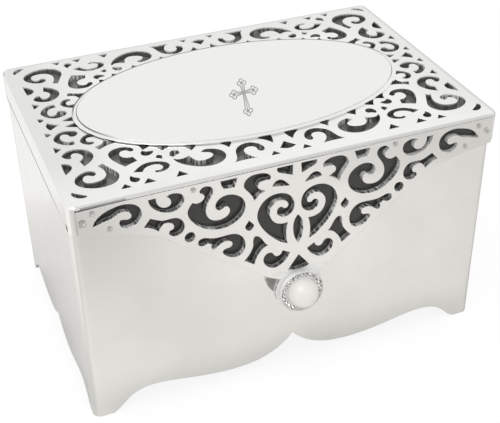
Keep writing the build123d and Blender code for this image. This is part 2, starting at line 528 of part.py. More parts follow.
def flap_backing_sheet():
    """Gloss sheet behind the flap, down to just above the knob."""
    end_x = lid_inner_x - FLAP_END_GAP - FLAP_SHEET_INSET
    top = -(FLAP_EDGE_DROP + SEAM_GAP) / math.cos(lean) - SEAT_CLEARANCE
    corner = -(FLAP_EDGE_DROP + SEAM_GAP) - FLAP_CORNER_HEIGHT + FLAP_SHEET_INSET
    lower = [flap_point(1, point) for point in FLAP_EDGE_CURVE + [FLAP_TIP_START]] + [tip_joint(1)]
    right = [(x, y + FLAP_SHEET_INSET) for x, y, _ in lower]
    left = [(2 * FLAP_PATTERN_X - x, y) for x, y in right[::-1]]
    points = [(end_x, top), (end_x, corner)] + right + left + [(-end_x, corner), (-end_x, top)]
    sheet = extrude(make_face(Polyline(*points, close=True)), amount=SHEET_THICKNESS, dir=(0, 0, -1))
    return flap_plane.location * Pos(0, 0, -FLAP_THICKNESS) * sheet


def lid_liner():
    """Velvet-covered pad under the lid."""
    half_x = lid_inner_x - LINER_MARGIN
    low_y = -half_depth + FLAP_THICKNESS + SHEET_THICKNESS + SEAT_CLEARANCE + LINER_MARGIN
    high_y = lid_inner_back - LINER_MARGIN
    top = plate_bottom - SHEET_THICKNESS - SOFT_CLEARANCE
    pad = slab(-half_x, half_x, low_y, high_y, top - LINER_THICKNESS, top)
    return fillet(pad.faces().sort_by(Axis.Z)[0].edges(), SOFT_ROUND)


def bud_outline(length):
    """Closed outline of one arm with its three-lobed bud, drawn along +Y from the crossing."""
    neck = (BUD_HALF_WIDTH, length - BUD_HALF_WIDTH / 2)
    points = [(0.0, 0.0), (ARM_HALF_WIDTH, ARM_HALF_WIDTH), neck]
    arm = make_face(Polyline(*(points + [(-x, y) for x, y in points[:0:-1]]), close=True))
    lobes = [(0, LOBE_REACH), (LOBE_REACH, 0), (-LOBE_REACH, 0)]
    for x, y in lobes:
        arm += Pos(x, length + y) * Circle(LOBE_RADIUS)
    arm += Pos(0, length) * Rectangle(2 * BUD_HALF_WIDTH, 2 * BUD_HALF_WIDTH)
    return arm


def cross_lines():
    """Engraved lines of the cross: its outline, a middle line in each arm and a mark in each bud."""
    whole = Sketch()
    marks = Sketch()
    for angle, length in CROSS_ARMS:
        turn = Rot(0, 0, angle - 90)
        whole += turn * bud_outline(length)
        marks += turn * Pos(0, length) * Rot(0, 0, 45) * Rectangle(2 * BUD_MARK, 2 * BUD_MARK)
        marks += turn * Pos(0, length / 2) * Rectangle(LINE_WIDTH * MIDDLE_LINE_SHARE, length)
    return offset(whole, LINE_WIDTH / 2) - offset(whole, -LINE_WIDTH / 2) + marks


def set_in_plaque(shape):
    """Stretches and leans the square-drawn cross, and puts its crossing in place on the plaque."""
    along_x = [1, CROSS_LEAN, 0, CROSS_CENTRE[0]]
    along_y = [CROSS_RISE, CROSS_STRETCH, 0, CROSS_CENTRE[1]]
    return shape.transform_geometry(Matrix([along_x, along_y, [0, 0, 1, 0], [0, 0, 0, 1]]))


def oval_plaque():
    """Oval plate with a low step round its edge and an engraved cross."""
    base = extrude(Ellipse(PLAQUE_LENGTH / 2, PLAQUE_WIDTH / 2), amount=PLAQUE_BASE)
    base = fillet(base.faces().sort_by(Axis.Z)[-1].edges(), PLAQUE_EDGE_ROUND)
    field = Ellipse(PLAQUE_LENGTH / 2 - PLAQUE_STEP, PLAQUE_WIDTH / 2 - PLAQUE_STEP)
    plate = base + extrude(Pos(0, 0, PLAQUE_BASE) * field, amount=PLAQUE_RISE)
    top = PLAQUE_BASE + PLAQUE_RISE
    groove = extrude(Pos(0, 0, top - LINE_DEPTH) * cross_lines(), amount=LINE_DEPTH + OVERRUN)
    plate -= set_in_plaque(groove)
    return Pos(PATTERN_X, PATTERN_Y, BOX_HEIGHT) * plate


def turned(points):
    """A round solid on the knob's axis from a profile of radius and height above the flap's face."""
    profile = make_face(Polyline(*[(radius, 0, height) for radius, height in points], close=True))
    return flap_plane.location * Pos(knob_x, knob_y, 0) * revolve(profile, Axis.Z)


def knob_stem():
    """Stem with its collar, peened over a washer behind the flap."""
    tail = -FLAP_THICKNESS - WASHER_THICKNESS
    return turned([
        (0, tail - STEM_HEAD_HEIGHT), (STEM_HEAD_RADIUS, tail - STEM_HEAD_HEIGHT), (STEM_HEAD_RADIUS, tail),
        (STEM_RADIUS, tail), (STEM_RADIUS, 0), (COLLAR_RADIUS, 0), (COLLAR_RADIUS, COLLAR_HEIGHT),
        (STEM_RADIUS, COLLAR_HEIGHT), (STEM_RADIUS, COLLAR_HEIGHT + BEZEL_BASE),
        (0, COLLAR_HEIGHT + BEZEL_BASE),
    ])


def knob_washer():
    """Washer between the flap and the stem's head."""
    bore = STEM_RADIUS + STEM_FIT
    back = -FLAP_THICKNESS - WASHER_THICKNESS
    front = -FLAP_THICKNESS
    return turned([(bore, back), (WASHER_RADIUS, back), (WASHER_RADIUS, front), (bore, front)])


pearl_seat = COLLAR_HEIGHT + BEZEL_BASE
stone_seat = pearl_seat + STONE_SEAT
bezel_top = COLLAR_HEIGHT + BEZEL_HEIGHT
pocket = PEARL_RADIUS + PEARL_FIT


def bezel_cup():
    """Cup with a pocket for the pearl and a channel round it for the stones."""
    bore = STEM_RADIUS + STEM_FIT
    bulge = COLLAR_HEIGHT + BEZEL_BASE
    return turned([
        (bore, COLLAR_HEIGHT), (BEZEL_FOOT_RADIUS, COLLAR_HEIGHT),
        (BEZEL_RADIUS, bulge), (BEZEL_RADIUS, bezel_top),
        (BEZEL_RADIUS - BEZEL_LIP, bezel_top), (BEZEL_RADIUS - BEZEL_LIP, stone_seat),
        (pocket + BEZEL_LIP, stone_seat), (pocket + BEZEL_LIP, bezel_top), (pocket, bezel_top),
        (pocket, pearl_seat), (bore, pearl_seat),
    ])


def bezel_stones():
    """Ring of small cut stones."""
    circle = (pocket + BEZEL_RADIUS) / 2
    stones = []
    for index in range(STONE_COUNT):
        outline = RegularPolygon(STONE_RADIUS, STONE_SIDES)
        stone = extrude(outline, amount=STONE_HEIGHT, taper=STONE_SLOPE)
        turn = Rot(0, 0, 360 * index / STONE_COUNT)
        seat = Pos(knob_x, knob_y, stone_seat) * turn * Pos(circle, 0, 0)
        stones.append(flap_plane.location * seat * stone)
    return Compound(stones)


def pearl():
    """Half-round pearl with a short straight girdle."""
    girdle = pearl_seat + PEARL_GIRDLE
    dome = Edge.make_three_point_arc(
        (PEARL_RADIUS, 0, girdle),
        (PEARL_RADIUS * math.sqrt(0.5), 0, girdle + PEARL_RADIUS * math.sqrt(0.5)),
        (0, 0, girdle + PEARL_RADIUS),
    )
    edges = [
        Edge.make_line((0, 0, pearl_seat), (PEARL_RADIUS, 0, pearl_seat)),
        Edge.make_line((PEARL_RADIUS, 0, pearl_seat), (PEARL_RADIUS, 0, girdle)),
        dome,
        Edge.make_line((0, 0, girdle + PEARL_RADIUS), (0, 0, pearl_seat)),
    ]
    solid = revolve(Face(Wire(edges)), Axis.Z)
    return flap_plane.location * Pos(knob_x, knob_y, 0) * solid


def lid_bumpers():
    """Rubber plugs in the lower edge of the lid's sides, which rest on the body."""
    length = LID_WALL - 2 * PLUG_RECESS
    plugs = [across(length, BUMPER_RADIUS, x, y, z) for x, y, z in bumper_places()]
    return Compound(plugs)


def apron_cut(half_outline, stretch, plane, reach):
    """Prism under the curved lower edge, cut through both opposite walls."""
    right = [(x * stretch, z) for x, z in half_outline]
    left = [(-x, z) for x, z in right[::-1]]
    foot = right[-1][0]
    below = [(foot, 0), (foot, -OVERRUN), (-foot, -OVERRUN), (-foot, 0)]
    right, left, below = [[plane.from_local_coords((x, z, 0)) for x, z in run] for run in (right, left, below)]
    edges = [Edge.make_spline(right), Edge.make_spline(left)]
    edges += [Edge.make_line(start, end) for start, end in zip(below, below[1:])]
    return extrude(Face(Wire(edges)), amount=reach, both=True)


def body_shell():
    """Four walls with rounded corners, feet and a ledge for the floor."""
    shell = rounded_block(body_half_x, body_half_y, BODY_CORNER, 0, body_top, body_mid_y)
    inner_corner = BODY_CORNER - BODY_WALL
    ledge_top = LEDGE_HEIGHT + LEDGE_THICKNESS
    above = rounded_block(inner_half_x, inner_half_y, inner_corner, ledge_top, body_top, body_mid_y)
    below = rounded_block(inner_half_x, inner_half_y, inner_corner, 0, LEDGE_HEIGHT, body_mid_y)
    ledge_x = inner_half_x - LEDGE_WIDTH
    ledge_y = inner_half_y - LEDGE_WIDTH
    middle = rounded_block(ledge_x, ledge_y, inner_corner, 0, body_top, body_mid_y)
    shell = shell - above - below - middle
    front_plane = Plane(origin=(0, body_mid_y, 0), x_dir=(1, 0, 0), z_dir=(0, -1, 0))
    side_plane = Plane(origin=(0, body_mid_y, 0), x_dir=(0, 1, 0), z_dir=(1, 0, 0))
    shell -= apron_cut(FRONT_APRON, stretch_x, front_plane, LID_DEPTH)
    shell -= apron_cut(SIDE_APRON, stretch_y, side_plane, LID_LENGTH)
    for hole in rivet_holes(body_rivet_z, body_back - BODY_WALL - OVERRUN, body_back + OVERRUN):
        shell -= hole
    return shell


floor_bottom = LEDGE_HEIGHT + LEDGE_THICKNESS
pad_bottom = floor_bottom + FLOOR_THICKNESS + SOFT_CLEARANCE
lining_bottom = pad_bottom
lining_top = body_top - LINING_DROP


def floor_plate():
    """Bottom panel that lies on the ledge."""
    half_x = inner_half_x - FLOOR_CLEARANCE
    half_y = inner_half_y - FLOOR_CLEARANCE
    corner = BODY_CORNER - BODY_WALL
    return rounded_block(half_x, half_y, corner, floor_bottom, floor_bottom + FLOOR_THICKNESS, body_mid_y)


def floor_pad():
    """Velvet-covered pad on the floor, inside the linings."""
    margin = 2 * SOFT_CLEARANCE + LINING_THICKNESS
    half_x = inner_half_x - margin
    half_y = inner_half_y - margin
    top = pad_bottom + FLOOR_PAD_THICKNESS
    pad = slab(-half_x, half_x, body_mid_y - half_y, body_mid_y + half_y, pad_bottom, top)
    return fillet(pad.faces().sort_by(Axis.Z)[-1].edges(), SOFT_ROUND)


def lining_long(sign):
    """Velvet-covered card on the front (-1) or the back (1) wall."""
    half_x = inner_half_x - SOFT_CLEARANCE
    outer = body_mid_y + sign * (inner_half_y - SOFT_CLEARANCE)
    inner = outer - sign * LINING_THICKNESS
    return slab(-half_x, half_x, min(outer, inner), max(outer, inner), lining_bottom, lining_top)


def lining_short(sign):
    """Velvet-covered card on the left (-1) or the right (1) wall, between the long ones."""
    half_y = inner_half_y - 2 * SOFT_CLEARANCE - LINING_THICKNESS
    outer = sign * (inner_half_x - SOFT_CLEARANCE)
    inner = outer - sign * LINING_THICKNESS
    low, high = sorted((outer, inner))
    return slab(low, high, body_mid_y - half_y, body_mid_y + half_y, lining_bottom, lining_top)


def knuckle_spans(first):
    """X limits of every second knuckle, from the first index."""
    pitch = HINGE_LENGTH / KNUCKLES
    spans = []
    for index in range(first, KNUCKLES, 2):
        low = -HINGE_LENGTH / 2 + index * pitch
        spans.append((low + KNUCKLE_GAP / 2, low + pitch - KNUCKLE_GAP / 2))
    return spans


def pin_hole():
    """Cylinder that clears the pin through all knuckles."""
    return across(HINGE_LENGTH + OVERRUN, PIN_RADIUS + PIN_FIT, 0, hinge_y, hinge_z)


def hinge_body_leaf():
    """Fixed leaf on the back wall, with its knuckles and their webs."""
    half = HINGE_LENGTH / 2 - KNUCKLE_GAP / 2
    outer = body_back + LEAF_THICKNESS
    leaf = slab(-half, half, body_back, outer, body_leaf_top - BODY_LEAF_HEIGHT, body_leaf_top)
    web_top = body_top - WEB_DROP
    for low, high in knuckle_spans(0):
        leaf += slab(low, high, body_back, outer, body_leaf_top, web_top)
        leaf += slab(low, high, body_back, hinge_y, web_top - WEB_THICKNESS, web_top)
        leaf += across(high - low, BARREL_RADIUS, (low + high) / 2, hinge_y, hinge_z)
    for hole in rivet_holes(body_rivet_z, body_back - OVERRUN, outer + OVERRUN):
        leaf -= hole
    return leaf - pin_hole()


def stop_angle():
    """Angle of the stop fin at rest, from straight up towards the back."""
    offset_y = hinge_y - body_back - LEAF_THICKNESS - STOP_CLEARANCE
    half = STOP_THICKNESS / 2
    reach = math.hypot(STOP_REACH, half)
    met = 180 + math.degrees(math.asin(offset_y / reach)) - math.degrees(math.atan2(half, STOP_REACH))
    return met - OPEN_ANGLE


def hinge_lid_leaf():
    """Moving leaf on the lid's back, with its knuckles and the fins that stop the open lid."""
    half = HINGE_LENGTH / 2 - KNUCKLE_GAP / 2
    outer = half_depth + LEAF_THICKNESS
    leaf = slab(-half, half, half_depth, outer, lid_leaf_bottom, lid_leaf_bottom + LID_LEAF_HEIGHT)
    inner_reach = (BARREL_RADIUS + PIN_RADIUS) / 2
    for low, high in knuckle_spans(1):
        width = high - low
        middle = (low + high) / 2
        leaf += slab(low, high, half_depth, outer, hinge_z, lid_leaf_bottom)
        leaf += across(width, BARREL_RADIUS, middle, hinge_y, hinge_z)
        fin = Pos(0, 0, (inner_reach + STOP_REACH) / 2) * Box(width, STOP_THICKNESS, STOP_REACH - inner_reach)
        leaf += Pos(middle, hinge_y, hinge_z) * Rot(-stop_angle(), 0, 0) * fin
    for hole in rivet_holes(lid_rivet_z, half_depth - OVERRUN, outer + OVERRUN):
        leaf -= hole
    return leaf - pin_hole()


def hinge_pin():
    """Pin with a head at each end."""
    shank = HINGE_LENGTH - KNUCKLE_GAP
    pin = across(shank, PIN_RADIUS, 0, hinge_y, hinge_z)
    for sign in (1, -1):
        place = sign * (shank + PIN_HEAD_HEIGHT) / 2
        pin += across(PIN_HEAD_HEIGHT, PIN_HEAD_RADIUS, place, hinge_y, hinge_z)
    return pin


def rivets(z, y_inner, y_outer):
    """Row of rivets with round heads outside, and ends just inside the wall's inner face."""
    solids = []
    for x in rivet_xs():
        length = y_outer - y_inner - PLUG_RECESS
        shank = Pos(x, y_outer - length / 2, z) * Rot(90, 0, 0) * Cylinder(RIVET_RADIUS, length)
        head = Pos(x, y_outer + RIVET_HEAD_HEIGHT / 2, z) * Rot(90, 0, 0)
        head = head * Cylinder(RIVET_HEAD_RADIUS, RIVET_HEAD_HEIGHT)
        rim = head.faces().sort_by(Axis.Y)[-1].edges()
        head = fillet(rim, RIVET_HEAD_ROUND)
        solids.append(shank + head)
    return Compound(solids)


nodes = {
    "lid_shell": lid_shell(),
    "front_flap": front_flap(),
    "top_backing_sheet": top_backing_sheet(),
    "flap_backing_sheet": flap_backing_sheet(),
    "lid_liner": lid_liner(),
    "oval_plaque": oval_plaque(),
    "knob_stem": knob_stem(),
    "knob_washer": knob_washer(),
    "bezel_cup": bezel_cup(),
    "bezel_stones": bezel_stones(),
    "pearl": pearl(),
    "lid_bumpers": lid_bumpers(),
    "hinge_lid_leaf": hinge_lid_leaf(),
    "hinge_lid_rivets": rivets(lid_rivet_z, lid_inner_back, half_depth + LEAF_THICKNESS),
    "hinge_pin": hinge_pin(),
    "hinge_body_leaf": hinge_body_leaf(),
    "hinge_body_rivets": rivets(body_rivet_z, body_back - BODY_WALL, body_back + LEAF_THICKNESS),
    "body_shell": body_shell(),
    "floor_plate": floor_plate(),
    "floor_pad": floor_pad(),
    "lining_front": lining_long(-1),
    "lining_back": lining_long(1),
    "lining_left": lining_short(-1),
    "lining_right": lining_short(1),
}

# The origin lies under the middle of the whole box, between the pearl and the hinge
boxes = [shape.bounding_box() for shape in nodes.values()]
shift_y = -(min(box.min.Y for box in boxes) + max(box.max.Y for box in boxes)) / 2

os.makedirs("parts", exist_ok=True)
for name, shape in nodes.items():
    export_step(Pos(0, shift_y, 0) * shape, "parts/" + name + ".step")
print("hinge axis at y", round(hinge_y + shift_y, 3), "z", round(hinge_z, 3))
print("shift along y", round(shift_y, 4))
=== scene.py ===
import logging
import math
from dataclasses import dataclass
from enum import Enum
from typing import Iterable, Sequence

import bmesh
import bpy
from mathutils import Matrix, Vector


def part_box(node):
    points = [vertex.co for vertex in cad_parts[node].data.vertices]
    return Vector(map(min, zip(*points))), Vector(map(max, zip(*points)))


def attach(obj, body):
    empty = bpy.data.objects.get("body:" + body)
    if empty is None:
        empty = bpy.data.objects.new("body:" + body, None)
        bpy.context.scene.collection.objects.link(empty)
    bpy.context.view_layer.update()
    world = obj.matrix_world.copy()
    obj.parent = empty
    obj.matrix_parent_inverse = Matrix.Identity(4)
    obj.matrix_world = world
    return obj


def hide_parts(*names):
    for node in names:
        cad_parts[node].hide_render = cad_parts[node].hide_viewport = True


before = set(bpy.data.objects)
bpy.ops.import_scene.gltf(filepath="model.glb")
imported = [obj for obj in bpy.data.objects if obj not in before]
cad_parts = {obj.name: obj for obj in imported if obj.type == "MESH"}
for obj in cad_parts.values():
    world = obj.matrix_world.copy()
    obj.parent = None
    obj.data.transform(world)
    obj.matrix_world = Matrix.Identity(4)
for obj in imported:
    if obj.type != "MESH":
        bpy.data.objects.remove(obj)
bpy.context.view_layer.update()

log = logging.getLogger("keepsake_box")

Colour = tuple[float, float, float]
Place = tuple[float, float, float]
Range = tuple[float, float]
Grid = list[list[int]]
Socket = bpy.types.NodeSocket

MM = 0.001

# Sockets of the Mix node: its factor and both inputs, then its result
COLOUR_INPUTS = (0, 6, 7)
COLOUR_RESULT = 2
VALUE_INPUTS = (0, 2, 3)
VALUE_RESULT = 0


class PanelSide(Enum):
    """Where a velvet panel lies: the axis that it is thin along, and the way that its velvet faces."""

    LINER = (2, -1)
    FLOOR = (2, 1)
    FRONT = (1, 1)
    BACK = (1, -1)
    LEFT = (0, 1)
    RIGHT = (0, -1)


class ShaderGraph:
    """A material under construction: its Principled shader and short calls for the nodes round it."""

    def __init__(self, name: str) -> None:
        """Starts a node material.

        Args:
            name: Name of the material.
        """
        self.material = bpy.data.materials.new(name)
        self.material.use_nodes = True
        self.tree = self.material.node_tree
        self.shader = self.tree.nodes["Principled BSDF"]

    def link(self, source: Socket, target: Socket) -> None:
        """Joins two sockets."""
        self.tree.links.new(source, target)

    def plug(self, value: object, socket: Socket) -> None:
        """Gives a socket its input.

        Args:
            value: Another node's output, a number or a colour.
            socket: The socket that takes it.
        """
        if isinstance(value, Socket):
            self.link(value, socket)
        elif isinstance(value, tuple):
            socket.default_value = (*value, 1.0)
        else:
            socket.default_value = value

    def set(self, **values: object) -> None:
        """Sets or joins inputs of the Principled shader.

        Args:
            values: Numbers, colours or outputs, each named as its input, with underscores for spaces.
        """
        for name, value in values.items():
            self.plug(value, self.shader.inputs[name.replace("_", " ")])

    def node(self, kind: str, **settings: object) -> bpy.types.Node:
        """Adds a node.

        Args:
            kind: Node type without its ShaderNode prefix.
            settings: Attributes of the node to set.

        Returns:
            The new node.
        """
        made = self.tree.nodes.new("ShaderNode" + kind)
        for name, value in settings.items():
            setattr(made, name, value)
        return made

    def math(self, operation: str, first: object, second: object = 0.0, third: object = 0.0) -> Socket:
        """Adds a Math node.

        Args:
            operation: Blender's name of the operation.
            first: First operand, an output or a number.
            second: Second operand.
            third: Third operand.

        Returns:
            The node's output.
        """
        made = self.node("Math", operation=operation)
        for socket, value in zip(made.inputs, (first, second, third)):
            self.plug(value, socket)
        return made.outputs[0]

    def coordinates(self, output: str = "Object", scale: Sequence[float] = (1.0, 1.0, 1.0)) -> Socket:
        """Texture coordinates of the object.

        Args:
            output: Object for the place, Normal for the way that the surface faces.
            scale: Stretch along each axis.

        Returns:
            The coordinates.
        """
        made = self.node("Mapping")
        made.inputs["Scale"].default_value = scale
        self.link(self.node("TexCoord").outputs[output], made.inputs["Vector"])
        return made.outputs["Vector"]

    def places(self) -> tuple[Socket, ...]:
        """Splits the place in the object's own space.

        Returns:
            The place along each of the three axes.
        """
        made = self.node("SeparateXYZ")
        self.link(self.coordinates(), made.inputs[0])
        return tuple(made.outputs)

    def along(self, output: str, direction: Place) -> Socket:
        """Measures texture coordinates along a direction.

        Args:
            output: Object for the place, Normal for the way that the surface faces.
            direction: The direction, of length 1.

        Returns:
            The measure.
        """
        made = self.node("VectorMath", operation="DOT_PRODUCT")
        self.link(self.coordinates(output), made.inputs[0])
        made.inputs[1].default_value = direction
        return made.outputs["Value"]

    def noise(self, scale: float, detail: float = 2.0, stretch: Sequence[float] = (1.0, 1.0, 1.0),
              roughness: float = 0.5) -> Socket:
        """Noise in the object's own space.

        Args:
            scale: Cells per metre.
            detail: Octaves of finer noise.
            stretch: Scale of each axis before the noise.
            roughness: Weight of the finer octaves.

        Returns:
            The noise's value, about 0.5 in the mean.
        """
        made = self.node("TexNoise")
        made.inputs["Scale"].default_value = scale
        made.inputs["Detail"].default_value = detail
        made.inputs["Roughness"].default_value = roughness
        self.link(self.coordinates(scale=stretch), made.inputs["Vector"])
        return made.outputs["Fac"]

    def spread(self, value: Socket, edges: Range, ends: Range = (0.0, 1.0), smooth: bool = False) -> Socket:
        """Maps a value from one range to another, held at both ends.

        Args:
            value: The value.
            edges: Where the change starts and stops.
            ends: What comes out before the start and after the stop.
            smooth: Whether the change eases in and out.

        Returns:
            The mapped value.
        """
        made = self.node("MapRange", interpolation_type="SMOOTHSTEP" if smooth else "LINEAR")
        self.link(value, made.inputs["Value"])
        for name, number in zip(("From Min", "From Max", "To Min", "To Max"), (*edges, *ends)):
            made.inputs[name].default_value = number
        return made.outputs["Result"]

    def mix(self, factor: Socket, first: object, second: object) -> Socket:
        """Goes from one colour to another.

        Args:
            factor: 0 for the first colour, 1 for the second.
            first: A colour, or a node's output.
            second: A colour, or a node's output.

        Returns:
            The mixed colour.
        """
        made = self.node("Mix", data_type="RGBA")
        for index, value in zip(COLOUR_INPUTS, (factor, first, second)):
            self.plug(value, made.inputs[index])
        return made.outputs[COLOUR_RESULT]

    def mix_values(self, factor: Socket, first: Socket, second: float) -> Socket:
        """Goes from a value to a plain number.

        Args:
            factor: 0 for the value, 1 for the number.
            first: The value.
            second: The number.

        Returns:
            The mixed value.
        """
        made = self.node("Mix", data_type="FLOAT")
        for index, value in zip(VALUE_INPUTS, (factor, first, second)):
            self.plug(value, made.inputs[index])
        return made.outputs[VALUE_RESULT]

    def bump(self, height: Socket, distance: float, strength: object = 1.0,
             normal: Socket | None = None) -> Socket:
        """Adds a Bump node.

        Args:
            height: Height field from 0 to 1.
            distance: Height in metres that 1 stands for.
            strength: Share of the bump, an output or a number.
            normal: Normal that the bump is added to.

        Returns:
            The bumped normal.
        """
        made = self.node("Bump")
        made.inputs["Distance"].default_value = distance
        self.plug(strength, made.inputs["Strength"])
        self.link(height, made.inputs["Height"])
        if normal is not None:
            self.link(normal, made.inputs["Normal"])
        return made.outputs["Normal"]

    def rounded_edges(self, radius: float, samples: int = 6) -> Socket:
        """Makes sharp edges look rounded.

        Args:
            radius: Radius of the rounding in metres.
            samples: Rays that look for the edge.

        Returns:
            The rounded normal.
        """
        made = self.node("Bevel", samples=samples)
        made.inputs["Radius"].default_value = radius
        return made.outputs["Normal"]


@dataclass(frozen=True)
class CastWalls:
    """Walls of the piercings: streaked as cast and duller than the faces, with painted highlights and painted
    shade in their colour.
    """

    axis: Place
    middle: Place
    reach: Place
    dark: Colour = (0.10, 0.10, 0.098)
    light: Colour = (1.0, 1.0, 0.99)
    dull: Colour = (0.40, 0.40, 0.39)
    facing_edges: Range = (0.3, 0.6)
    patch_edges: Range = (0.45, 0.56)
    patch_scale: float = 85.0
    metallic: float = 0.12
    roughness: float = 0.3
    streak_edges: Range = (0.43, 0.57)
    streak_scale: float = 1000.0
    streak_detail: float = 2.5
    streak_roughness: float = 0.6
    streak_stretch: float = 0.10
    streak_height: float = 1.6 * MM
    main_axis: float = 0.7
    edge_highlight_depth: Range | None = None

    def share(self, graph: ShaderGraph) -> Socket:
        """Finds the walls by their normal, inside the pierced field only.

        Args:
            graph: The material under construction.

        Returns:
            1 on the walls, 0 elsewhere.
        """
        facing = graph.math("ABSOLUTE", graph.along("Normal", self.axis))
        found = graph.spread(facing, self.facing_edges, (1.0, 0.0))
        for place, middle, reach in zip(graph.places(), self.middle, self.reach):
            found = graph.math("MULTIPLY", found, graph.math("COMPARE", place, middle, reach))
        return found

    def streaks(self, graph: ShaderGraph) -> Socket:
        """Noise drawn out through the thickness of the casting."""
        stretch = tuple(self.streak_stretch if abs(part) > self.main_axis else 1.0 for part in self.axis)
        return graph.noise(self.streak_scale, self.streak_detail, stretch, self.streak_roughness)

    def tones(self, graph: ShaderGraph, streaks: Socket) -> Socket:
        """Colour of the walls: painted highlights as bright streaks in some patches, painted shade as dark
        and dull ones in others.

        Args:
            graph: The material under construction.
            streaks: The streaks' noise.

        Returns:
            The colour.
        """
        sharp = graph.spread(streaks, self.streak_edges)
        patches = graph.spread(graph.noise(self.patch_scale, detail=1.0), self.patch_edges, smooth=True)
        quiet = graph.mix(sharp, self.dark, self.dull)
        colour = graph.mix(patches, quiet, graph.mix(sharp, self.dark, self.light))
        if self.edge_highlight_depth is None:
            return colour
        # Painted highlight along the wall's edge next to the face
        edge_highlight = graph.spread(graph.along("Object", self.axis), self.edge_highlight_depth, (1.0, 0.0))
        return graph.mix(edge_highlight, colour, self.light)


@dataclass(frozen=True)
class ToneBand:
    """Box-shaped stretch of a surface with a painted tone, in millimetres, mostly painted shade.

    A matte band takes the metal away, for painted shade in seams. Any other stays metal, and may be polished
    more.
    """

    low: Place
    high: Place
    tone: Colour
    soft: Place
    matte: bool = True
    polished: bool = False

    def share(self, graph: ShaderGraph) -> Socket:
        """Finds the band.

        Args:
            graph: The material under construction.

        Returns:
            1 in the band, 0 away from it.
        """
        share = None
        for place, low, high, soft in zip(graph.places(), self.low, self.high, self.soft):
            entering = graph.spread(place, ((low - soft) * MM, low * MM))
            leaving = graph.spread(place, (high * MM, (high + soft) * MM), (1.0, 0.0))
            inside = graph.math("MULTIPLY", entering, leaving)
            share = inside if share is None else graph.math("MULTIPLY", share, inside)
        return share


@dataclass(frozen=True)
class PolishedSilver:
    """Bright silver plate on a casting, with soft waves, handling marks and slightly rounded edges."""

    name: str = "polished_silver"
    colour: Colour = (0.925, 0.92, 0.905)
    smudge: Colour = (0.88, 0.875, 0.86)
    metallic: float = 1.0
    roughness: Range = (0.08, 0.17)
    mark_scale: float = 38.0
    mark_detail: float = 5.0
    mark_roughness: float = 0.62
    mark_edges: Range = (0.42, 0.68)
    rough_edges: Range = (0.35, 0.7)
    edge_radius: float = 0.35 * MM
    wave_height: float = 0.04 * MM
    wave_scale: float = 22.0
    wave_detail: float = 1.0
    grain_height: float = 0.005 * MM
    grain_scale: float = 900.0
    grain_detail: float = 3.0
    matte_roughness: float = 1.0
    polished_roughness: float = 0.03
    walls: CastWalls | None = None
    bands: tuple[ToneBand, ...] = ()

    def make(self) -> bpy.types.Material:
        """Builds the material.

        Returns:
            The material.
        """
        graph = ShaderGraph(self.name)
        marks = graph.noise(self.mark_scale, self.mark_detail, roughness=self.mark_roughness)
        colour = graph.mix(graph.spread(marks, self.mark_edges), self.colour, self.smudge)
        roughness = graph.spread(marks, self.rough_edges, self.roughness)
        metal: object = self.metallic
        normal = graph.rounded_edges(self.edge_radius)
        normal = graph.bump(graph.noise(self.wave_scale, self.wave_detail), self.wave_height, normal=normal)
        grain = graph.noise(self.grain_scale, self.grain_detail)
        normal = graph.bump(grain, self.grain_height, normal=normal)
        if self.walls is not None:
            share = self.walls.share(graph)
            streaks = self.walls.streaks(graph)
            colour = graph.mix(share, colour, self.walls.tones(graph, streaks))
            roughness = graph.mix_values(share, roughness, self.walls.roughness)
            metal = graph.spread(share, (0.0, 1.0), (self.metallic, self.walls.metallic))
            normal = graph.bump(streaks, self.walls.streak_height, strength=share, normal=normal)
        # Bands of painted shade, and matte or polished spots
        for band in self.bands:
            share = band.share(graph)
            colour = graph.mix(share, colour, band.tone)
            if band.matte:
                roughness = graph.mix_values(share, roughness, self.matte_roughness)
                metal = graph.math("MULTIPLY", metal, graph.math("SUBTRACT", 1.0, share))
            if band.polished:
                roughness = graph.mix_values(share, roughness, self.polished_roughness)
        graph.set(Metallic=metal, Base_Color=colour, Roughness=roughness, Normal=normal)
        return graph.material


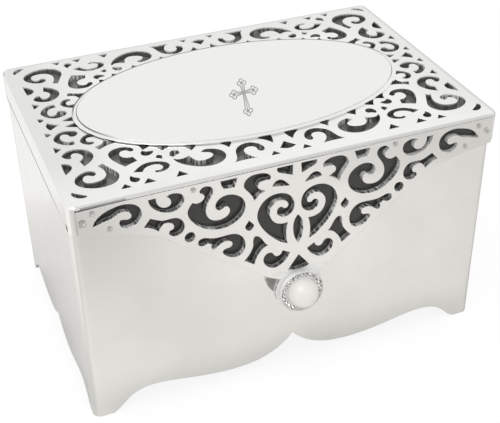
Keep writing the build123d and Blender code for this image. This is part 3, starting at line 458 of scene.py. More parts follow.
@dataclass(frozen=True)
class SatinSilver:
    """The plaque's quieter silver plate: fine brushing along its length, painted shade along its outer edge,
    its foot and its step, and darker grey in the cross's grooves.
    """

    name: str = "satin_silver"
    colour: Colour = (0.90, 0.90, 0.885)
    # The first and third colours here are painted shade, at the step and along the outer edge and foot;
    # engraving is the grooves' darker grey
    step_shade: Colour = (0.22, 0.22, 0.215)
    engraving: Colour = (0.40, 0.40, 0.395)
    rim: Colour = (0.20, 0.20, 0.195)
    roughness: Range = (0.2, 0.27)
    cloud_scale: float = 30.0
    cloud_detail: float = 4.0
    cloud_edges: Range = (0.35, 0.65)
    edge_radius: float = 0.2 * MM
    brush_height: float = 0.004 * MM
    brush_scale: float = 1800.0
    brush_stretch: Place = (0.06, 1.0, 1.0)
    middle: Range = (0.2 * MM, 3.934 * MM)
    edge_half: Range = (63.0 * MM, 36.4 * MM)
    step_half: Range = (61.7 * MM, 35.1 * MM)
    cross_half: Range = (20.0 * MM, 25.0 * MM)
    edge_height: float = 93.92 * MM
    edge_fade: Range = (0.0, 8.0 * MM)
    edge_half_width: float = 0.26 * MM
    foot_shade: Range = (93.58 * MM, 93.72 * MM)
    foot_ends: Range = (-42.0 * MM, -18.0 * MM)
    foot_shares: Range = (1.0, 0.03)
    line_half_width: float = 0.12 * MM
    line_soft: float = 0.10 * MM
    line_ends: Range = (51.0 * MM, 60.5 * MM)
    line_shares: Range = (0.04, 1.0)
    rise_height: float = 94.15 * MM
    rise_reach: float = 0.13 * MM
    groove_height: float = 94.17 * MM
    groove_reach: float = 0.09 * MM

    def make(self) -> bpy.types.Material:
        """Builds the material.

        Returns:
            The material.
        """
        graph = ShaderGraph(self.name)
        place_x, place_y, height = graph.places()
        across = graph.math("SUBTRACT", place_x, self.middle[0])
        along = graph.math("SUBTRACT", place_y, self.middle[1])
        off_across, off_along = graph.math("ABSOLUTE", across), graph.math("ABSOLUTE", along)
        # Painted shade along the outer edge, fading towards the front, and at the foot
        edge = self.oval(graph, across, along, self.edge_half, self.edge_half_width)
        edge = graph.math("MULTIPLY", graph.math("GREATER_THAN", height, self.edge_height), edge)
        edge = graph.math("MULTIPLY", edge, graph.spread(along, self.edge_fade))
        foot_shade = graph.spread(height, self.foot_shade, (1.0, 0.0))
        foot_shade = graph.math("MULTIPLY", foot_shade, graph.spread(across, self.foot_ends, self.foot_shares))
        edge = graph.math("MAXIMUM", edge, foot_shade)
        # Painted shade along the step, strongest at both ends
        step = self.oval(graph, across, along, self.step_half, self.line_half_width)
        ends = graph.spread(off_across, self.line_ends, self.line_shares, smooth=True)
        step = graph.math("MULTIPLY", ends, step)
        cross = graph.math("MULTIPLY", graph.math("LESS_THAN", off_across, self.cross_half[0]),
                           graph.math("LESS_THAN", off_along, self.cross_half[1]))
        groove = graph.math("COMPARE", height, self.groove_height, self.groove_reach)
        rise = graph.math("COMPARE", height, self.rise_height, self.rise_reach)
        rise = graph.math("MULTIPLY", rise, graph.math("SUBTRACT", 1.0, cross))
        colour = graph.mix(edge, self.colour, self.rim)
        colour = graph.mix(step, colour, self.step_shade)
        colour = graph.mix(graph.math("MULTIPLY", groove, cross), colour, self.engraving)
        clouds = graph.noise(self.cloud_scale, self.cloud_detail)
        brushing = graph.noise(self.brush_scale, stretch=self.brush_stretch)
        normal = graph.bump(brushing, self.brush_height, normal=graph.rounded_edges(self.edge_radius))
        graph.set(Metallic=graph.math("SUBTRACT", 1.0, rise), Base_Color=colour, Normal=normal,
                  Roughness=graph.spread(clouds, self.cloud_edges, self.roughness))
        return graph.material

    def oval(self, graph: ShaderGraph, across: Socket, along: Socket, half: Range,
             half_width: float) -> Socket:
        """Marks a thin line along an oval.

        Args:
            graph: The material under construction.
            across: Place along the plaque's length, from its middle.
            along: Place along its width.
            half: Half length and half width of the oval.
            half_width: Half width of the line.

        Returns:
            1 on the line, 0 away from it.
        """
        first = graph.math("DIVIDE", across, half[0])
        second = graph.math("DIVIDE", along, half[1])
        level = graph.math("ADD", graph.math("POWER", first, 2.0), graph.math("POWER", second, 2.0))
        steep = graph.math("ADD", graph.math("POWER", graph.math("DIVIDE", first, half[0]), 2.0),
                           graph.math("POWER", graph.math("DIVIDE", second, half[1]), 2.0))
        off = graph.math("ABSOLUTE", graph.math("SUBTRACT", level, 1.0))
        distance = graph.math("DIVIDE", off, graph.math("MULTIPLY", graph.math("SQRT", steep), 2.0))
        return graph.spread(distance, (half_width, half_width + self.line_soft), (1.0, 0.0))


@dataclass(frozen=True)
class GlossSheet:
    """Thin gloss black sheet behind the piercings, a little uneven."""

    name: str = "gloss_black_sheet"
    colour: Colour = (0.042, 0.042, 0.04)
    ior: float = 1.5
    roughness: Range = (0.06, 0.16)
    haze_scale: float = 60.0
    haze_detail: float = 3.0
    haze_edges: Range = (0.35, 0.65)
    ripple_scale: float = 90.0
    ripple_height: float = 0.05 * MM

    def make(self) -> bpy.types.Material:
        """Builds the material.

        Returns:
            The material.
        """
        graph = ShaderGraph(self.name)
        haze = graph.noise(self.haze_scale, self.haze_detail)
        graph.set(Base_Color=self.colour, IOR=self.ior,
                  Roughness=graph.spread(haze, self.haze_edges, self.roughness),
                  Normal=graph.bump(graph.noise(self.ripple_scale), self.ripple_height))
        return graph.material


@dataclass(frozen=True)
class Velvet:
    """Short black pile."""

    name: str = "black_velvet"
    dark: Colour = (0.012, 0.012, 0.014)
    light: Colour = (0.03, 0.03, 0.034)
    sheen_tint: Colour = (0.6, 0.6, 0.64)
    brushed_scale: float = 55.0
    brushed_detail: float = 5.0
    brushed_roughness: float = 0.65
    brushed_edges: Range = (0.4, 0.62)
    pile_scale: float = 2600.0
    pile_detail: float = 3.0
    pile_height: float = 0.25 * MM

    def make(self) -> bpy.types.Material:
        """Builds the material.

        Returns:
            The material.
        """
        graph = ShaderGraph(self.name)
        graph.set(Roughness=0.95, Sheen_Weight=0.8, Sheen_Roughness=0.35, Sheen_Tint=self.sheen_tint)
        brushed = graph.noise(self.brushed_scale, self.brushed_detail, roughness=self.brushed_roughness)
        pile = graph.noise(self.pile_scale, self.pile_detail)
        graph.set(Base_Color=graph.mix(graph.spread(brushed, self.brushed_edges), self.dark, self.light),
                  Normal=graph.bump(pile, self.pile_height))
        return graph.material


@dataclass(frozen=True)
class PearlLustre:
    """Creamy pearl with soft depth under a gloss coat, with painted shade making it a little darker towards
    its top.
    """

    name: str = "pearl_lustre"
    deep: Colour = (0.87, 0.86, 0.80)
    bright: Colour = (0.97, 0.965, 0.93)
    top_shade: Colour = (0.84, 0.83, 0.79)
    top_shade_heights: Range = (36.5 * MM, 43.0 * MM)
    rim_blend: float = 0.45
    mottle_scale: float = 400.0
    mottle_detail: float = 3.0
    mottle_edges: Range = (0.3, 0.7)
    mottle_swing: Range = (-0.12, 0.12)
    depth_edges: Range = (0.0, 0.9)
    skin_scale: float = 260.0
    skin_height: float = 0.02 * MM

    def make(self) -> bpy.types.Material:
        """Builds the material.

        Returns:
            The material.
        """
        graph = ShaderGraph(self.name)
        graph.set(Roughness=0.34, Coat_Weight=0.5, Coat_Roughness=0.2)
        layer = graph.node("LayerWeight")
        layer.inputs["Blend"].default_value = self.rim_blend
        mottle = graph.noise(self.mottle_scale, self.mottle_detail)
        mottle = graph.spread(mottle, self.mottle_edges, self.mottle_swing)
        depth = graph.spread(graph.math("ADD", layer.outputs["Facing"], mottle), self.depth_edges)
        # Painted shade on the pearl's upper part
        upper = graph.spread(graph.places()[2], self.top_shade_heights, smooth=True)
        graph.set(Base_Color=graph.mix(upper, graph.mix(depth, self.bright, self.deep), self.top_shade),
                  Normal=graph.bump(graph.noise(self.skin_scale), self.skin_height))
        return graph.material


@dataclass(frozen=True)
class CutStone:
    """Small foiled stones: mirror-bright facets under a clear coat, with painted sparkle that makes some
    facets dark and some bright.
    """

    name: str = "cut_stone"
    bright: Colour = (0.90, 0.895, 0.88)
    dark: Colour = (0.16, 0.16, 0.15)
    sparkle_scale: float = 1500.0
    sparkle_detail: float = 1.0
    sparkle_edges: Range = (0.42, 0.58)
    facet_scale: float = 1700.0
    facet_detail: float = 0.0
    facet_height: float = 0.12 * MM

    def make(self) -> bpy.types.Material:
        """Builds the material.

        Returns:
            The material.
        """
        graph = ShaderGraph(self.name)
        graph.set(Metallic=0.85, Roughness=0.06, Coat_Weight=1.0, Coat_Roughness=0.02)
        sparkle = graph.noise(self.sparkle_scale, self.sparkle_detail)
        facets = graph.noise(self.facet_scale, self.facet_detail)
        graph.set(Base_Color=graph.mix(graph.spread(sparkle, self.sparkle_edges), self.dark, self.bright),
                  Normal=graph.bump(facets, self.facet_height))
        return graph.material


@dataclass(frozen=True)
class BlackRubber:
    """Matte rubber with a fine mould texture."""

    name: str = "black_rubber"
    colour: Colour = (0.014, 0.014, 0.014)
    roughness: Range = (0.5, 0.7)
    mottle_scale: float = 700.0
    mottle_detail: float = 3.0
    mottle_edges: Range = (0.3, 0.7)
    mould_scale: float = 1400.0
    mould_height: float = 0.03 * MM

    def make(self) -> bpy.types.Material:
        """Builds the material.

        Returns:
            The material.
        """
        graph = ShaderGraph(self.name)
        mottle = graph.noise(self.mottle_scale, self.mottle_detail)
        graph.set(Base_Color=self.colour, Roughness=graph.spread(mottle, self.mottle_edges, self.roughness),
                  Normal=graph.bump(graph.noise(self.mould_scale), self.mould_height))
        return graph.material


@dataclass(frozen=True)
class PaintedBoard:
    """Pressed board with thin black paint that lets some fibre show."""

    name: str = "painted_board"
    paint: Colour = (0.02, 0.019, 0.018)
    fibre: Colour = (0.055, 0.045, 0.036)
    fibre_scale: float = 900.0
    fibre_detail: float = 4.0
    fibre_stretch: Place = (0.3, 1.0, 1.0)
    fibre_edges: Range = (0.5, 0.72)
    fibre_height: float = 0.08 * MM

    def make(self) -> bpy.types.Material:
        """Builds the material.

        Returns:
            The material.
        """
        graph = ShaderGraph(self.name)
        fibres = graph.noise(self.fibre_scale, self.fibre_detail, self.fibre_stretch)
        graph.set(Base_Color=graph.mix(graph.spread(fibres, self.fibre_edges), self.paint, self.fibre),
                  Roughness=0.7, Normal=graph.bump(fibres, self.fibre_height))
        return graph.material


@dataclass(frozen=True)
class PaleFloor:
    """Floor that shows white to the camera and keeps a soft shadow.

    What the silver mirrors is a warm grey card round the box, with painted shade close to its sides and back,
    and a pale ground beyond its straight edge.
    """

    name: str = "pale_floor"
    box_shade: Colour = (0.745, 0.74, 0.72)
    near: Colour = (0.97, 0.955, 0.93)
    front_near_left: Colour = (0.745, 0.73, 0.705)
    front_near_right: Colour = (0.895, 0.88, 0.855)
    front_near_edges: Range = (-0.05, 0.01)
    front_close: Colour = (0.865, 0.845, 0.815)
    front: Colour = (0.63, 0.615, 0.59)
    far: Colour = (0.93, 0.93, 0.915)
    footprint_middle: float = 2.9 * MM
    footprint_half: Range = (79.0 * MM, 52.0 * MM)
    near_reach: float = 85.0 * MM
    front_edges: Range = (-0.10, -0.17)
    front_start: Range = (-0.051, -0.070)
    left_edges: Range = (-0.055, -0.002)
    left_rest: float = 0.2
    right_edges: Range = (0.04, 0.16)
    right_share: float = 0.58
    edge_point: Range = (-0.0995, 0.1002)
    edge_direction: Range = (-0.847, -0.532)
    edge_softness: float = 0.006
    shadow_share: float = 0.16
    white_level: float = 1.06

    def make(self) -> bpy.types.Material:
        """Builds the material.

        Returns:
            The material.
        """
        graph = ShaderGraph(self.name)
        place_x, place_y, _ = graph.places()
        along_x, along_y = self.edge_direction
        offset_x = graph.math("SUBTRACT", place_x, self.edge_point[0])
        offset_y = graph.math("SUBTRACT", place_y, self.edge_point[1])
        across = graph.math("SUBTRACT", graph.math("MULTIPLY", offset_x, along_y),
                            graph.math("MULTIPLY", offset_y, along_x))
        beyond = graph.spread(across, (-self.edge_softness, self.edge_softness), smooth=True)
        diffuse = graph.node("BsdfDiffuse")
        ground = graph.mix(beyond, self.card_colour(graph, place_x, place_y), self.far)
        graph.link(ground, diffuse.inputs["Color"])
        white = graph.node("Emission")
        white.inputs["Strength"].default_value = self.white_level
        rays = graph.node("LightPath")
        share = graph.math("MULTIPLY", rays.outputs["Is Camera Ray"], 1.0 - self.shadow_share)
        mixed = graph.node("MixShader")
        for source, socket in zip((share, diffuse.outputs[0], white.outputs[0]), mixed.inputs):
            graph.link(source, socket)
        graph.link(mixed.outputs[0], graph.tree.nodes["Material Output"].inputs["Surface"])
        graph.tree.nodes.remove(graph.shader)
        return graph.material

    def card_colour(self, graph: ShaderGraph, place_x: Socket, place_y: Socket) -> Socket:
        """Colour of the card: painted shade close to the box's sides and back, and duller again well in front
        of it.

        Args:
            graph: The material under construction.
            place_x: Place along the front.
            place_y: Place from front to back.

        Returns:
            The colour.
        """
        off_x = graph.math("SUBTRACT", graph.math("ABSOLUTE", place_x), self.footprint_half[0])
        from_middle = graph.math("ABSOLUTE", graph.math("SUBTRACT", place_y, self.footprint_middle))
        off_y = graph.math("SUBTRACT", from_middle, self.footprint_half[1])
        away = graph.spread(graph.math("MAXIMUM", off_x, off_y), (0.0, self.near_reach), smooth=True)
        forward = graph.spread(place_y, self.front_edges, smooth=True)
        left = graph.spread(place_x, self.left_edges, (1.0, self.left_rest), smooth=True)
        right = graph.spread(place_x, self.right_edges, (0.0, self.right_share))
        forward = graph.math("MAXIMUM", graph.math("MULTIPLY", forward, left), right)
        before = graph.spread(place_y, self.front_start, smooth=True)
        rightward = graph.spread(place_x, self.front_near_edges, smooth=True)
        front_lit = graph.mix(rightward, graph.mix(away, self.front_close, self.front_near_left),
                              graph.mix(away, self.front_close, self.front_near_right))
        lit = graph.mix(before, graph.mix(away, self.box_shade, self.near), front_lit)
        return graph.mix(forward, lit, self.front)


class Finishes:
    """Every finish of the box, made once and shared by the pieces."""

    # Streaked walls of the piercings, with painted highlights and painted shade, and the fields that they lie
    # in
    LID_WALLS = CastWalls(axis=(0.0, 0.0, 1.0), middle=(0.0, 2.934 * MM, 92.3 * MM),
                          reach=(77.4 * MM, 51.4 * MM, 1.3 * MM), light=(0.85, 0.85, 0.84),
                          dark=(0.10, 0.10, 0.097), dull=(0.17, 0.17, 0.165), patch_edges=(0.54, 0.65),
                          streak_height=0.8 * MM)
    FLAP_WALLS = CastWalls(axis=(0.0, -0.99783, 0.06586), middle=(0.0, -52.0 * MM, 66.0 * MM),
                           reach=(76.2 * MM, 9.0 * MM, 40.0 * MM), edge_highlight_depth=(54.0 * MM, 54.25 * MM))

    # Painted shade in the seams between the lid's sides and the body, and along the plate's front edge
    SEAM_SHADES = tuple(ToneBand(low=(side - 1.0, -22.0, 81.7), high=(side + 1.0, 60.0, 83.1),
                          tone=(0.12, 0.12, 0.117), soft=(0.5, 24.0, 0.15)) for side in (-79.0, 79.0))
    SHADED_STRIP = ToneBand(low=(-74.7, -52.0, 91.5), high=(-60.0, -46.0, 92.6), tone=(0.36, 0.36, 0.35),
                            soft=(0.4, 1.0, 0.3))
    RIGHT_STRIP_SHADE = ToneBand(low=(-10.0, -52.0, 91.4), high=(76.0, -46.0, 92.7), tone=(0.80, 0.80, 0.785),
                           soft=(30.0, 0.5, 0.3), matte=False)

    # Painted shade on the margins of the lid's top
    LEFT_MARGIN_SHADE = ToneBand(low=(-85.0, -22.0, 92.9), high=(-68.0, 60.0, 94.0), tone=(0.80, 0.80, 0.785),
                          soft=(14.0, 26.0, 0.3), matte=False)
    RIGHT_MARGIN_SHADE = ToneBand(low=(68.0, -30.0, 92.9), high=(85.0, 60.0, 94.0), tone=(0.84, 0.84, 0.825),
                           soft=(10.0, 20.0, 0.3), matte=False)
    BACK_MARGIN_SHADE = ToneBand(low=(-54.0, 42.0, 92.9), high=(58.0, 60.0, 94.0), tone=(0.84, 0.84, 0.825),
                          soft=(10.0, 10.0, 0.3), matte=False)

    # Painted shade along edges: the lid's right, back and back left, then three corners of the body
    LID_EDGE_SHADES = (ToneBand(low=(77.9, -60.0, 92.2), high=(81.0, 60.0, 94.0), tone=(0.66, 0.66, 0.65),
                            soft=(1.2, 1.0, 0.3), matte=False),
                   ToneBand(low=(-81.0, 54.8, 92.2), high=(81.0, 58.0, 94.0), tone=(0.66, 0.66, 0.65),
                            soft=(1.0, 1.2, 0.3), matte=False),
                   ToneBand(low=(-81.0, 51.8, 83.2), high=(-77.0, 58.0, 92.9), tone=(0.55, 0.55, 0.54),
                            soft=(1.0, 1.6, 0.3), matte=False))
    BODY_EDGE_SHADES = (ToneBand(low=(-80.0, 50.8, 0.0), high=(-75.0, 58.0, 81.6), tone=(0.55, 0.55, 0.54),
                             soft=(1.0, 1.6, 0.3), matte=False),
                    ToneBand(low=(-80.0, -50.0, 0.0), high=(-77.6, -45.5, 81.6), tone=(0.80, 0.80, 0.785),
                             soft=(0.9, 0.9, 0.3), matte=False),
                    ToneBand(low=(77.3, -50.0, 0.0), high=(80.0, -45.0, 81.6), tone=(0.60, 0.60, 0.59),
                             soft=(0.9, 0.9, 0.3), matte=False))

    # The body behind the knob is polished and the flap's tip is matte, with painted shade on the tip's back,
    # so the body mirrors that shade beside the knob
    MIRROR_SPOT = ToneBand(low=(-14.0, -49.0, 33.0), high=(8.0, -45.0, 50.0), tone=(0.90, 0.895, 0.88),
                           soft=(8.0, 1.0, 8.0), matte=False, polished=True)
    KNOB_TIP = ToneBand(low=(-9.6, -58.0, 31.0), high=(9.2, -53.0, 48.0), tone=(0.90, 0.90, 0.885),
                        soft=(2.0, 0.15, 2.0))
    TIP_BACK_SHADE = ToneBand(low=(-12.0, -52.0, 31.0), high=(11.6, -46.0, 46.5), tone=(0.72, 0.72, 0.705),
                        soft=(2.0, 0.6, 1.0))

    # Painted shade on both ends of the flap's top margin, and painted shade in its dimples (across, height,
    # half width)
    FLAP_CORNER_SHADE = ToneBand(low=(-76.0, -58.0, 89.0), high=(-66.0, -46.0, 92.0), tone=(0.88, 0.88, 0.865),
                           soft=(6.0, 1.0, 3.0), matte=False)
    FLAP_END_SHADE = ToneBand(low=(20.0, -58.0, 81.0), high=(76.0, -46.0, 92.0), tone=(0.84, 0.84, 0.825),
                          soft=(18.0, 1.0, 3.0), matte=False)
    DIMPLE_PLACES = ((-71.3, 89.9, 0.35), (-74.8, 87.0, 0.7), (-66.2, 82.9, 0.35), (-37.2, 90.0, 0.35),
                     (71.0, 89.65, 0.35), (74.7, 86.8, 0.35), (65.8, 82.7, 0.35), (37.3, 90.06, 0.35))
    DIMPLE_SHADES = tuple(ToneBand(low=(x - half, -54.0, z - half), high=(x + half, -46.0, z + half),
                             tone=(0.50, 0.50, 0.49), soft=(0.9, 1.0, 0.9), matte=False)
                    for x, z, half in DIMPLE_PLACES)

    def __init__(self) -> None:
        """Builds the materials."""
        self.silver = PolishedSilver().make()
        body_bands = (*self.SEAM_SHADES, *self.BODY_EDGE_SHADES, self.MIRROR_SPOT)
        self.body_silver = PolishedSilver(name="polished_silver_body", bands=body_bands).make()
        # Painted shade on the lid's margins
        quiet = (self.LEFT_MARGIN_SHADE, self.RIGHT_MARGIN_SHADE, self.BACK_MARGIN_SHADE)
        lid_bands = (*self.SEAM_SHADES, self.SHADED_STRIP, self.RIGHT_STRIP_SHADE, *quiet, *self.LID_EDGE_SHADES)
        self.lid_silver = PolishedSilver(name="polished_silver_lid", colour=(0.935, 0.93, 0.915),
                                         walls=self.LID_WALLS, bands=lid_bands).make()
        flap_bands = (self.FLAP_END_SHADE, self.FLAP_CORNER_SHADE, self.KNOB_TIP, self.TIP_BACK_SHADE, *self.DIMPLE_SHADES)
        self.flap_silver = PolishedSilver(name="polished_silver_flap", walls=self.FLAP_WALLS,
                                          bands=flap_bands).make()
        self.bezel = PolishedSilver(name="soft_silver_bezel", metallic=0.2, roughness=(0.38, 0.5)).make()
        self.plaque = SatinSilver().make()
        self.gloss_sheet = GlossSheet().make()
        # A lighter copy of the gloss black sheet for the top: painted light on the sheet that faces up
        self.lit_top_sheet = GlossSheet(name="gloss_black_sheet_top_lit", colour=(0.16, 0.16, 0.156)).make()
        self.velvet = Velvet().make()
        self.pearl = PearlLustre().make()
        self.stone = CutStone().make()
        self.rubber = BlackRubber().make()
        self.board = PaintedBoard().make()


def dress(names: Iterable[str], material: bpy.types.Material) -> None:
    """Gives CAD pieces a finish and reports them.

    Args:
        names: Names of the CAD nodes.
        material: Their new material.
    """
    for name in names:
        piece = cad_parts[name]
        piece.data.materials.clear()
        piece.data.materials.append(material)
        log.info("%s dressed in %s", name, material.name)


@dataclass
class PaddedPanel:
    """Velvet drawn over a padded card: a closed form, fullest in the middle, with its sides drawn in."""

    node: str
    body: str
    side: PanelSide
    finishes: Finishes
    steps: tuple[int, int] = (72, 36)
    edge_round: float = 0.9 * MM
    crown: float = 0.25 * MM
    drawn_in: float = 0.18 * MM
    unevenness: float = 0.10 * MM
    fill: float = 0.75
    card_gap: float = 0.02 * MM
    card_share: float = 0.25
    rim_share: float = 0.3
    broad_waves: Range = (97.0, 83.0)
    broad_start: float = 1.3
    broad_share: float = 0.6
    fine_waves: Range = (211.0, 167.0)
    fine_share: float = 0.4

    def spread_line(self, low: float, high: float, count: int) -> list[float]:
        """Stations along a side, closer together near both ends."""
        middle, half = (low + high) / 2, (high - low) / 2
        return [middle - half * math.cos(math.pi * step / count) for step in range(count + 1)]

    def ease(self, distance: float) -> float:
        """Share of the full thickness at a distance from the panel's edge, along a quarter round."""
        inside = min(max(distance / self.edge_round, 0.0), 1.0)
        return math.sqrt(1.0 - (1.0 - inside) ** 2)

    def sag(self, first: float, second: float) -> float:
        """Small soft unevenness of the pile.

        Args:
            first: Place along the first side.
            second: Place along the second side.

        Returns:
            The unevenness, from -1 to 1.
        """
        across = math.sin(first * self.broad_waves[0] + self.broad_start)
        along = math.cos(second * self.broad_waves[1])
        fine = math.sin(first * self.fine_waves[0] - second * self.fine_waves[1])
        return self.broad_share * across * along + self.fine_share * fine

    def build(self) -> None:
        """Makes the panel in the place of its CAD node."""
        vertices, grids = self.points()
        mesh = bpy.data.meshes.new(self.node + "_velvet")
        mesh.from_pydata(vertices, [], self.faces(*grids))
        mesh.validate()
        self.turn_outwards(mesh)
        mesh.shade_smooth()
        mesh.materials.append(self.finishes.velvet)
        piece = bpy.data.objects.new(self.node + "_velvet", mesh)
        bpy.context.scene.collection.objects.link(piece)
        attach(piece, self.body)
        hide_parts(self.node)
        log.info("%s built over its card", piece.name)

    def points(self) -> tuple[list[Place], list[Grid]]:
        """Lays out the vertices of both sides.

        Returns:
            The vertices, and a grid of their numbers for the side on the card and one for the velvet face.
        """
        thin_axis, face_sign = self.side.value
        low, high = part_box(self.node)
        axes = [axis for axis in range(3) if axis != thin_axis]
        base = low[thin_axis] if face_sign > 0 else high[thin_axis]
        full = high[thin_axis] - low[thin_axis]
        lines = [self.spread_line(low[axis] + self.drawn_in, high[axis] - self.drawn_in, count)
                 for axis, count in zip(axes, self.steps)]
        vertices: list[Place] = []
        grids: list[Grid] = []
        for layer in (0, 1):
            grid = []
            for first in lines[0]:
                row = []
                for second in lines[1]:
                    row.append(len(vertices))
                    point = [0.0, 0.0, 0.0]
                    point[axes[0]] = first
                    point[axes[1]] = second
                    point[thin_axis] = base + face_sign * self.height(layer, first, second, lines, full)
                    vertices.append(tuple(point))
                grid.append(row)
            grids.append(grid)
        return vertices, grids

    def height(self, layer: int, first: float, second: float, lines: list[list[float]], full: float) -> float:
        """Height of a point above the side that lies on the card.

        Args:
            layer: 0 for the side on the card, 1 for the velvet face.
            first: Place along the first side.
            second: Place along the second side.
            lines: Stations of both sides.
            full: Thickness of the CAD panel.

        Returns:
            The height in metres.
        """
        edge = min(first - lines[0][0], lines[0][-1] - first, second - lines[1][0], lines[1][-1] - second)
        if layer == 0:
            return self.card_gap + self.card_share * full * (1.0 - self.ease(edge * 2.0))
        half = min(lines[0][-1] - lines[0][0], lines[1][-1] - lines[1][0]) / 2
        crown = self.crown * (1.0 - (1.0 - min(edge / half, 1.0)) ** 2)
        soft = self.unevenness * self.sag(first, second) * self.ease(edge) / 2
        body = full - self.crown - self.unevenness / 2
        rim = self.rim_share * full
        return rim + (body - rim) * self.ease(edge) + crown * self.ease(edge) + soft

    def faces(self, under: Grid, over: Grid) -> Grid:
        """Joins the vertices into both sides and the strip round their edge.

        Args:
            under: Grid of the side on the card.
            over: Grid of the velvet face.

        Returns:
            The faces, each a list of vertex numbers.
        """
        found: Grid = []
        rows, columns = len(under), len(under[0])
        for row in range(rows - 1):
            for column in range(columns - 1):
                for grid in (under, over):
                    near, far = grid[row], grid[row + 1]
                    face = [near[column], near[column + 1], far[column + 1], far[column]]
                    found.append(face if grid is under else face[::-1])
        rim = [(row, 0) for row in range(rows)]
        rim += [(rows - 1, column) for column in range(1, columns)]
        rim += [(row, columns - 1) for row in range(rows - 2, -1, -1)]
        rim += [(0, column) for column in range(columns - 2, 0, -1)]
        for start, end in zip(rim, rim[1:] + rim[:1]):
            lower = under[start[0]][start[1]], under[end[0]][end[1]]
            upper = over[end[0]][end[1]], over[start[0]][start[1]]
            found.append([*lower, *upper])
        return found

    def turn_outwards(self, mesh: bpy.types.Mesh) -> None:
        """Turns every face outwards.

        Args:
            mesh: The panel's mesh, which is changed.
        """
        form = bmesh.new()
        form.from_mesh(mesh)
        bmesh.ops.recalc_face_normals(form, faces=form.faces)
        form.to_mesh(mesh)
        form.free()


@dataclass
class Lid:
    """Pierced lid with its flap, backing sheets, pad and plaque."""

    finishes: Finishes

    def build(self) -> None:
        """Dresses the lid's pieces."""
        dress(["lid_shell"], self.finishes.lid_silver)
        dress(["front_flap"], self.finishes.flap_silver)
        dress(["flap_backing_sheet"], self.finishes.gloss_sheet)
        dress(["top_backing_sheet"], self.finishes.lit_top_sheet)
        dress(["oval_plaque"], self.finishes.plaque)
        PaddedPanel("lid_liner", "lid", PanelSide.LINER, self.finishes).build()
        dress(["lid_bumpers"], self.finishes.rubber)


@dataclass
class Knob:
    """Pearl knob in its ring of stones."""

    finishes: Finishes

    def build(self) -> None:
        """Dresses the knob's pieces."""
        dress(["knob_stem", "knob_washer"], self.finishes.silver)
        dress(["bezel_cup"], self.finishes.bezel)
        dress(["bezel_stones"], self.finishes.stone)
        dress(["pearl"], self.finishes.pearl)


@dataclass
class Hinge:
    """Back hinge with its pin and rivets."""

    finishes: Finishes

    def build(self) -> None:
        """Dresses the hinge's pieces."""
        names = ["hinge_lid_leaf", "hinge_lid_rivets", "hinge_body_leaf", "hinge_body_rivets", "hinge_pin"]
        dress(names, self.finishes.silver)


@dataclass
class Body:
    """Walls on bracket feet, with the floor and the linings."""

    finishes: Finishes
    pad_crown: float = 0.8 * MM
    pad_round: float = 1.6 * MM
    lining_round: float = 0.7 * MM

    def build(self) -> None:
        """Dresses the body's pieces."""
        dress(["body_shell"], self.finishes.body_silver)
        dress(["floor_plate"], self.finishes.board)
        PaddedPanel("floor_pad", "box", PanelSide.FLOOR, self.finishes, crown=self.pad_crown,
                    edge_round=self.pad_round).build()
        for side in (PanelSide.FRONT, PanelSide.BACK, PanelSide.LEFT, PanelSide.RIGHT):
            PaddedPanel("lining_" + side.name.lower(), "box", side, self.finishes,
                        edge_round=self.lining_round).build()


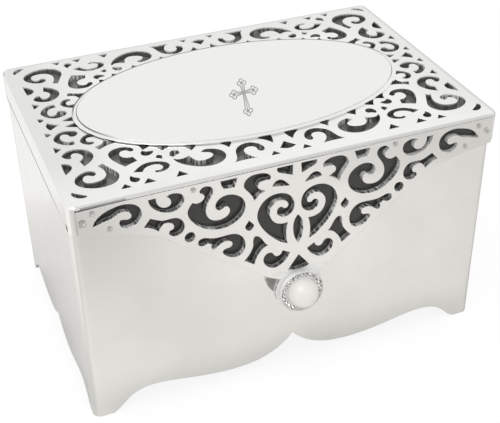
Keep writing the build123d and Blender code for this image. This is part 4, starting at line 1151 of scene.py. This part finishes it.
@dataclass
class Studio:
    """Pale floor, even white surroundings and one large soft lamp."""

    floor_half: float = 3.0
    surround: Colour = (1.0, 1.0, 1.0)
    surround_light: float = 0.82
    surround_seen: float = 0.95
    flag_direction: Place = (0.1, -0.62, 0.78)
    flag_edges: Range = (0.5, 0.85)
    flag_level: float = 0.74
    lamp_place: Place = (-0.45, -0.35, 0.9)
    lamp_aim: Place = (0.0, 0.0, 0.05)
    lamp_size: float = 0.7
    lamp_power: float = 3.0

    def build(self) -> None:
        """Makes the floor, the world and the lamp."""
        half = self.floor_half
        mesh = bpy.data.meshes.new("floor")
        corners = [(-half, -half, 0.0), (half, -half, 0.0), (half, half, 0.0), (-half, half, 0.0)]
        mesh.from_pydata(corners, [], [(0, 1, 2, 3)])
        mesh.materials.append(PaleFloor().make())
        floor = bpy.data.objects.new("floor", mesh)
        bpy.context.scene.collection.objects.link(floor)
        self.light_surroundings()
        self.hang_lamp()

    def light_surroundings(self) -> None:
        """White world: a plain level as light, white where it is seen, and greyer in front where mirrored."""
        world = bpy.data.worlds.new("surroundings")
        bpy.context.scene.world = world
        world.use_nodes = True
        tree = world.node_tree
        background = tree.nodes["Background"]
        background.inputs["Color"].default_value = (*self.surround, 1.0)
        rays = tree.nodes.new("ShaderNodeLightPath")
        facing = tree.nodes.new("ShaderNodeVectorMath")
        facing.operation = "DOT_PRODUCT"
        facing.inputs[1].default_value = Vector(self.flag_direction).normalized()
        tree.links.new(tree.nodes.new("ShaderNodeTexCoord").outputs["Generated"], facing.inputs[0])
        flag = tree.nodes.new("ShaderNodeMapRange")
        flag.interpolation_type = "SMOOTHSTEP"
        tree.links.new(facing.outputs["Value"], flag.inputs["Value"])
        limits = (*self.flag_edges, self.surround_seen, self.flag_level)
        for name, number in zip(("From Min", "From Max", "To Min", "To Max"), limits):
            flag.inputs[name].default_value = number
        level = tree.nodes.new("ShaderNodeMapRange")
        tree.links.new(rays.outputs["Is Glossy Ray"], level.inputs["Value"])
        level.inputs["To Min"].default_value = self.surround_light
        tree.links.new(flag.outputs["Result"], level.inputs["To Max"])
        seen = tree.nodes.new("ShaderNodeMath")
        seen.operation = "MAXIMUM"
        tree.links.new(level.outputs["Result"], seen.inputs[0])
        tree.links.new(rays.outputs["Is Camera Ray"], seen.inputs[1])
        tree.links.new(seen.outputs[0], background.inputs["Strength"])

    def hang_lamp(self) -> None:
        """One large soft lamp to the left of the camera, aimed at the box."""
        light = bpy.data.lights.new("softbox", "AREA")
        light.size = self.lamp_size
        light.energy = self.lamp_power
        lamp = bpy.data.objects.new("softbox", light)
        lamp.location = self.lamp_place
        aim = Vector(self.lamp_aim) - lamp.location
        lamp.rotation_euler = aim.to_track_quat("-Z", "Y").to_euler()
        bpy.context.scene.collection.objects.link(lamp)


@dataclass
class PhotographCamera:
    """Camera at the photograph's place, in the box's frame."""

    place: Place = (-0.12512, -0.32209, 0.27667)
    yaw: float = 21.587
    pitch: float = 34.405
    roll: float = -0.858
    focal_pixels: float = 1045.96
    image_width: float = 500.0
    sensor: float = 36.0
    clip: Range = (0.01, 20.0)

    def build(self) -> None:
        """Makes the camera and gives it to the scene."""
        data = bpy.data.cameras.new("photograph")
        data.sensor_fit = "HORIZONTAL"
        data.sensor_width = self.sensor
        data.lens = self.focal_pixels * self.sensor / self.image_width
        data.clip_start, data.clip_end = self.clip
        camera = bpy.data.objects.new("photograph", data)
        yaw, pitch, roll = (math.radians(angle) for angle in (self.yaw, self.pitch, self.roll))
        forward = Vector((math.sin(yaw) * math.cos(pitch), math.cos(yaw) * math.cos(pitch), -math.sin(pitch)))
        level = Vector((math.cos(yaw), -math.sin(yaw), 0.0))
        upright = level.cross(forward)
        right = level * math.cos(roll) + upright * math.sin(roll)
        up = upright * math.cos(roll) - level * math.sin(roll)
        turn = Matrix((right, up, -forward)).transposed()
        camera.matrix_world = Matrix.Translation(self.place) @ turn.to_4x4()
        bpy.context.scene.collection.objects.link(camera)
        bpy.context.scene.camera = camera


def main() -> None:
    """Builds the studio, the camera and every sub-assembly in order."""
    logging.basicConfig(level=logging.INFO, format="%(message)s")
    bpy.context.scene.view_settings.view_transform = "Standard"
    PhotographCamera().build()
    Studio().build()
    finishes = Finishes()
    for part in (Body(finishes), Lid(finishes), Knob(finishes), Hinge(finishes)):
        part.build()


if __name__ == "__main__":
    main()
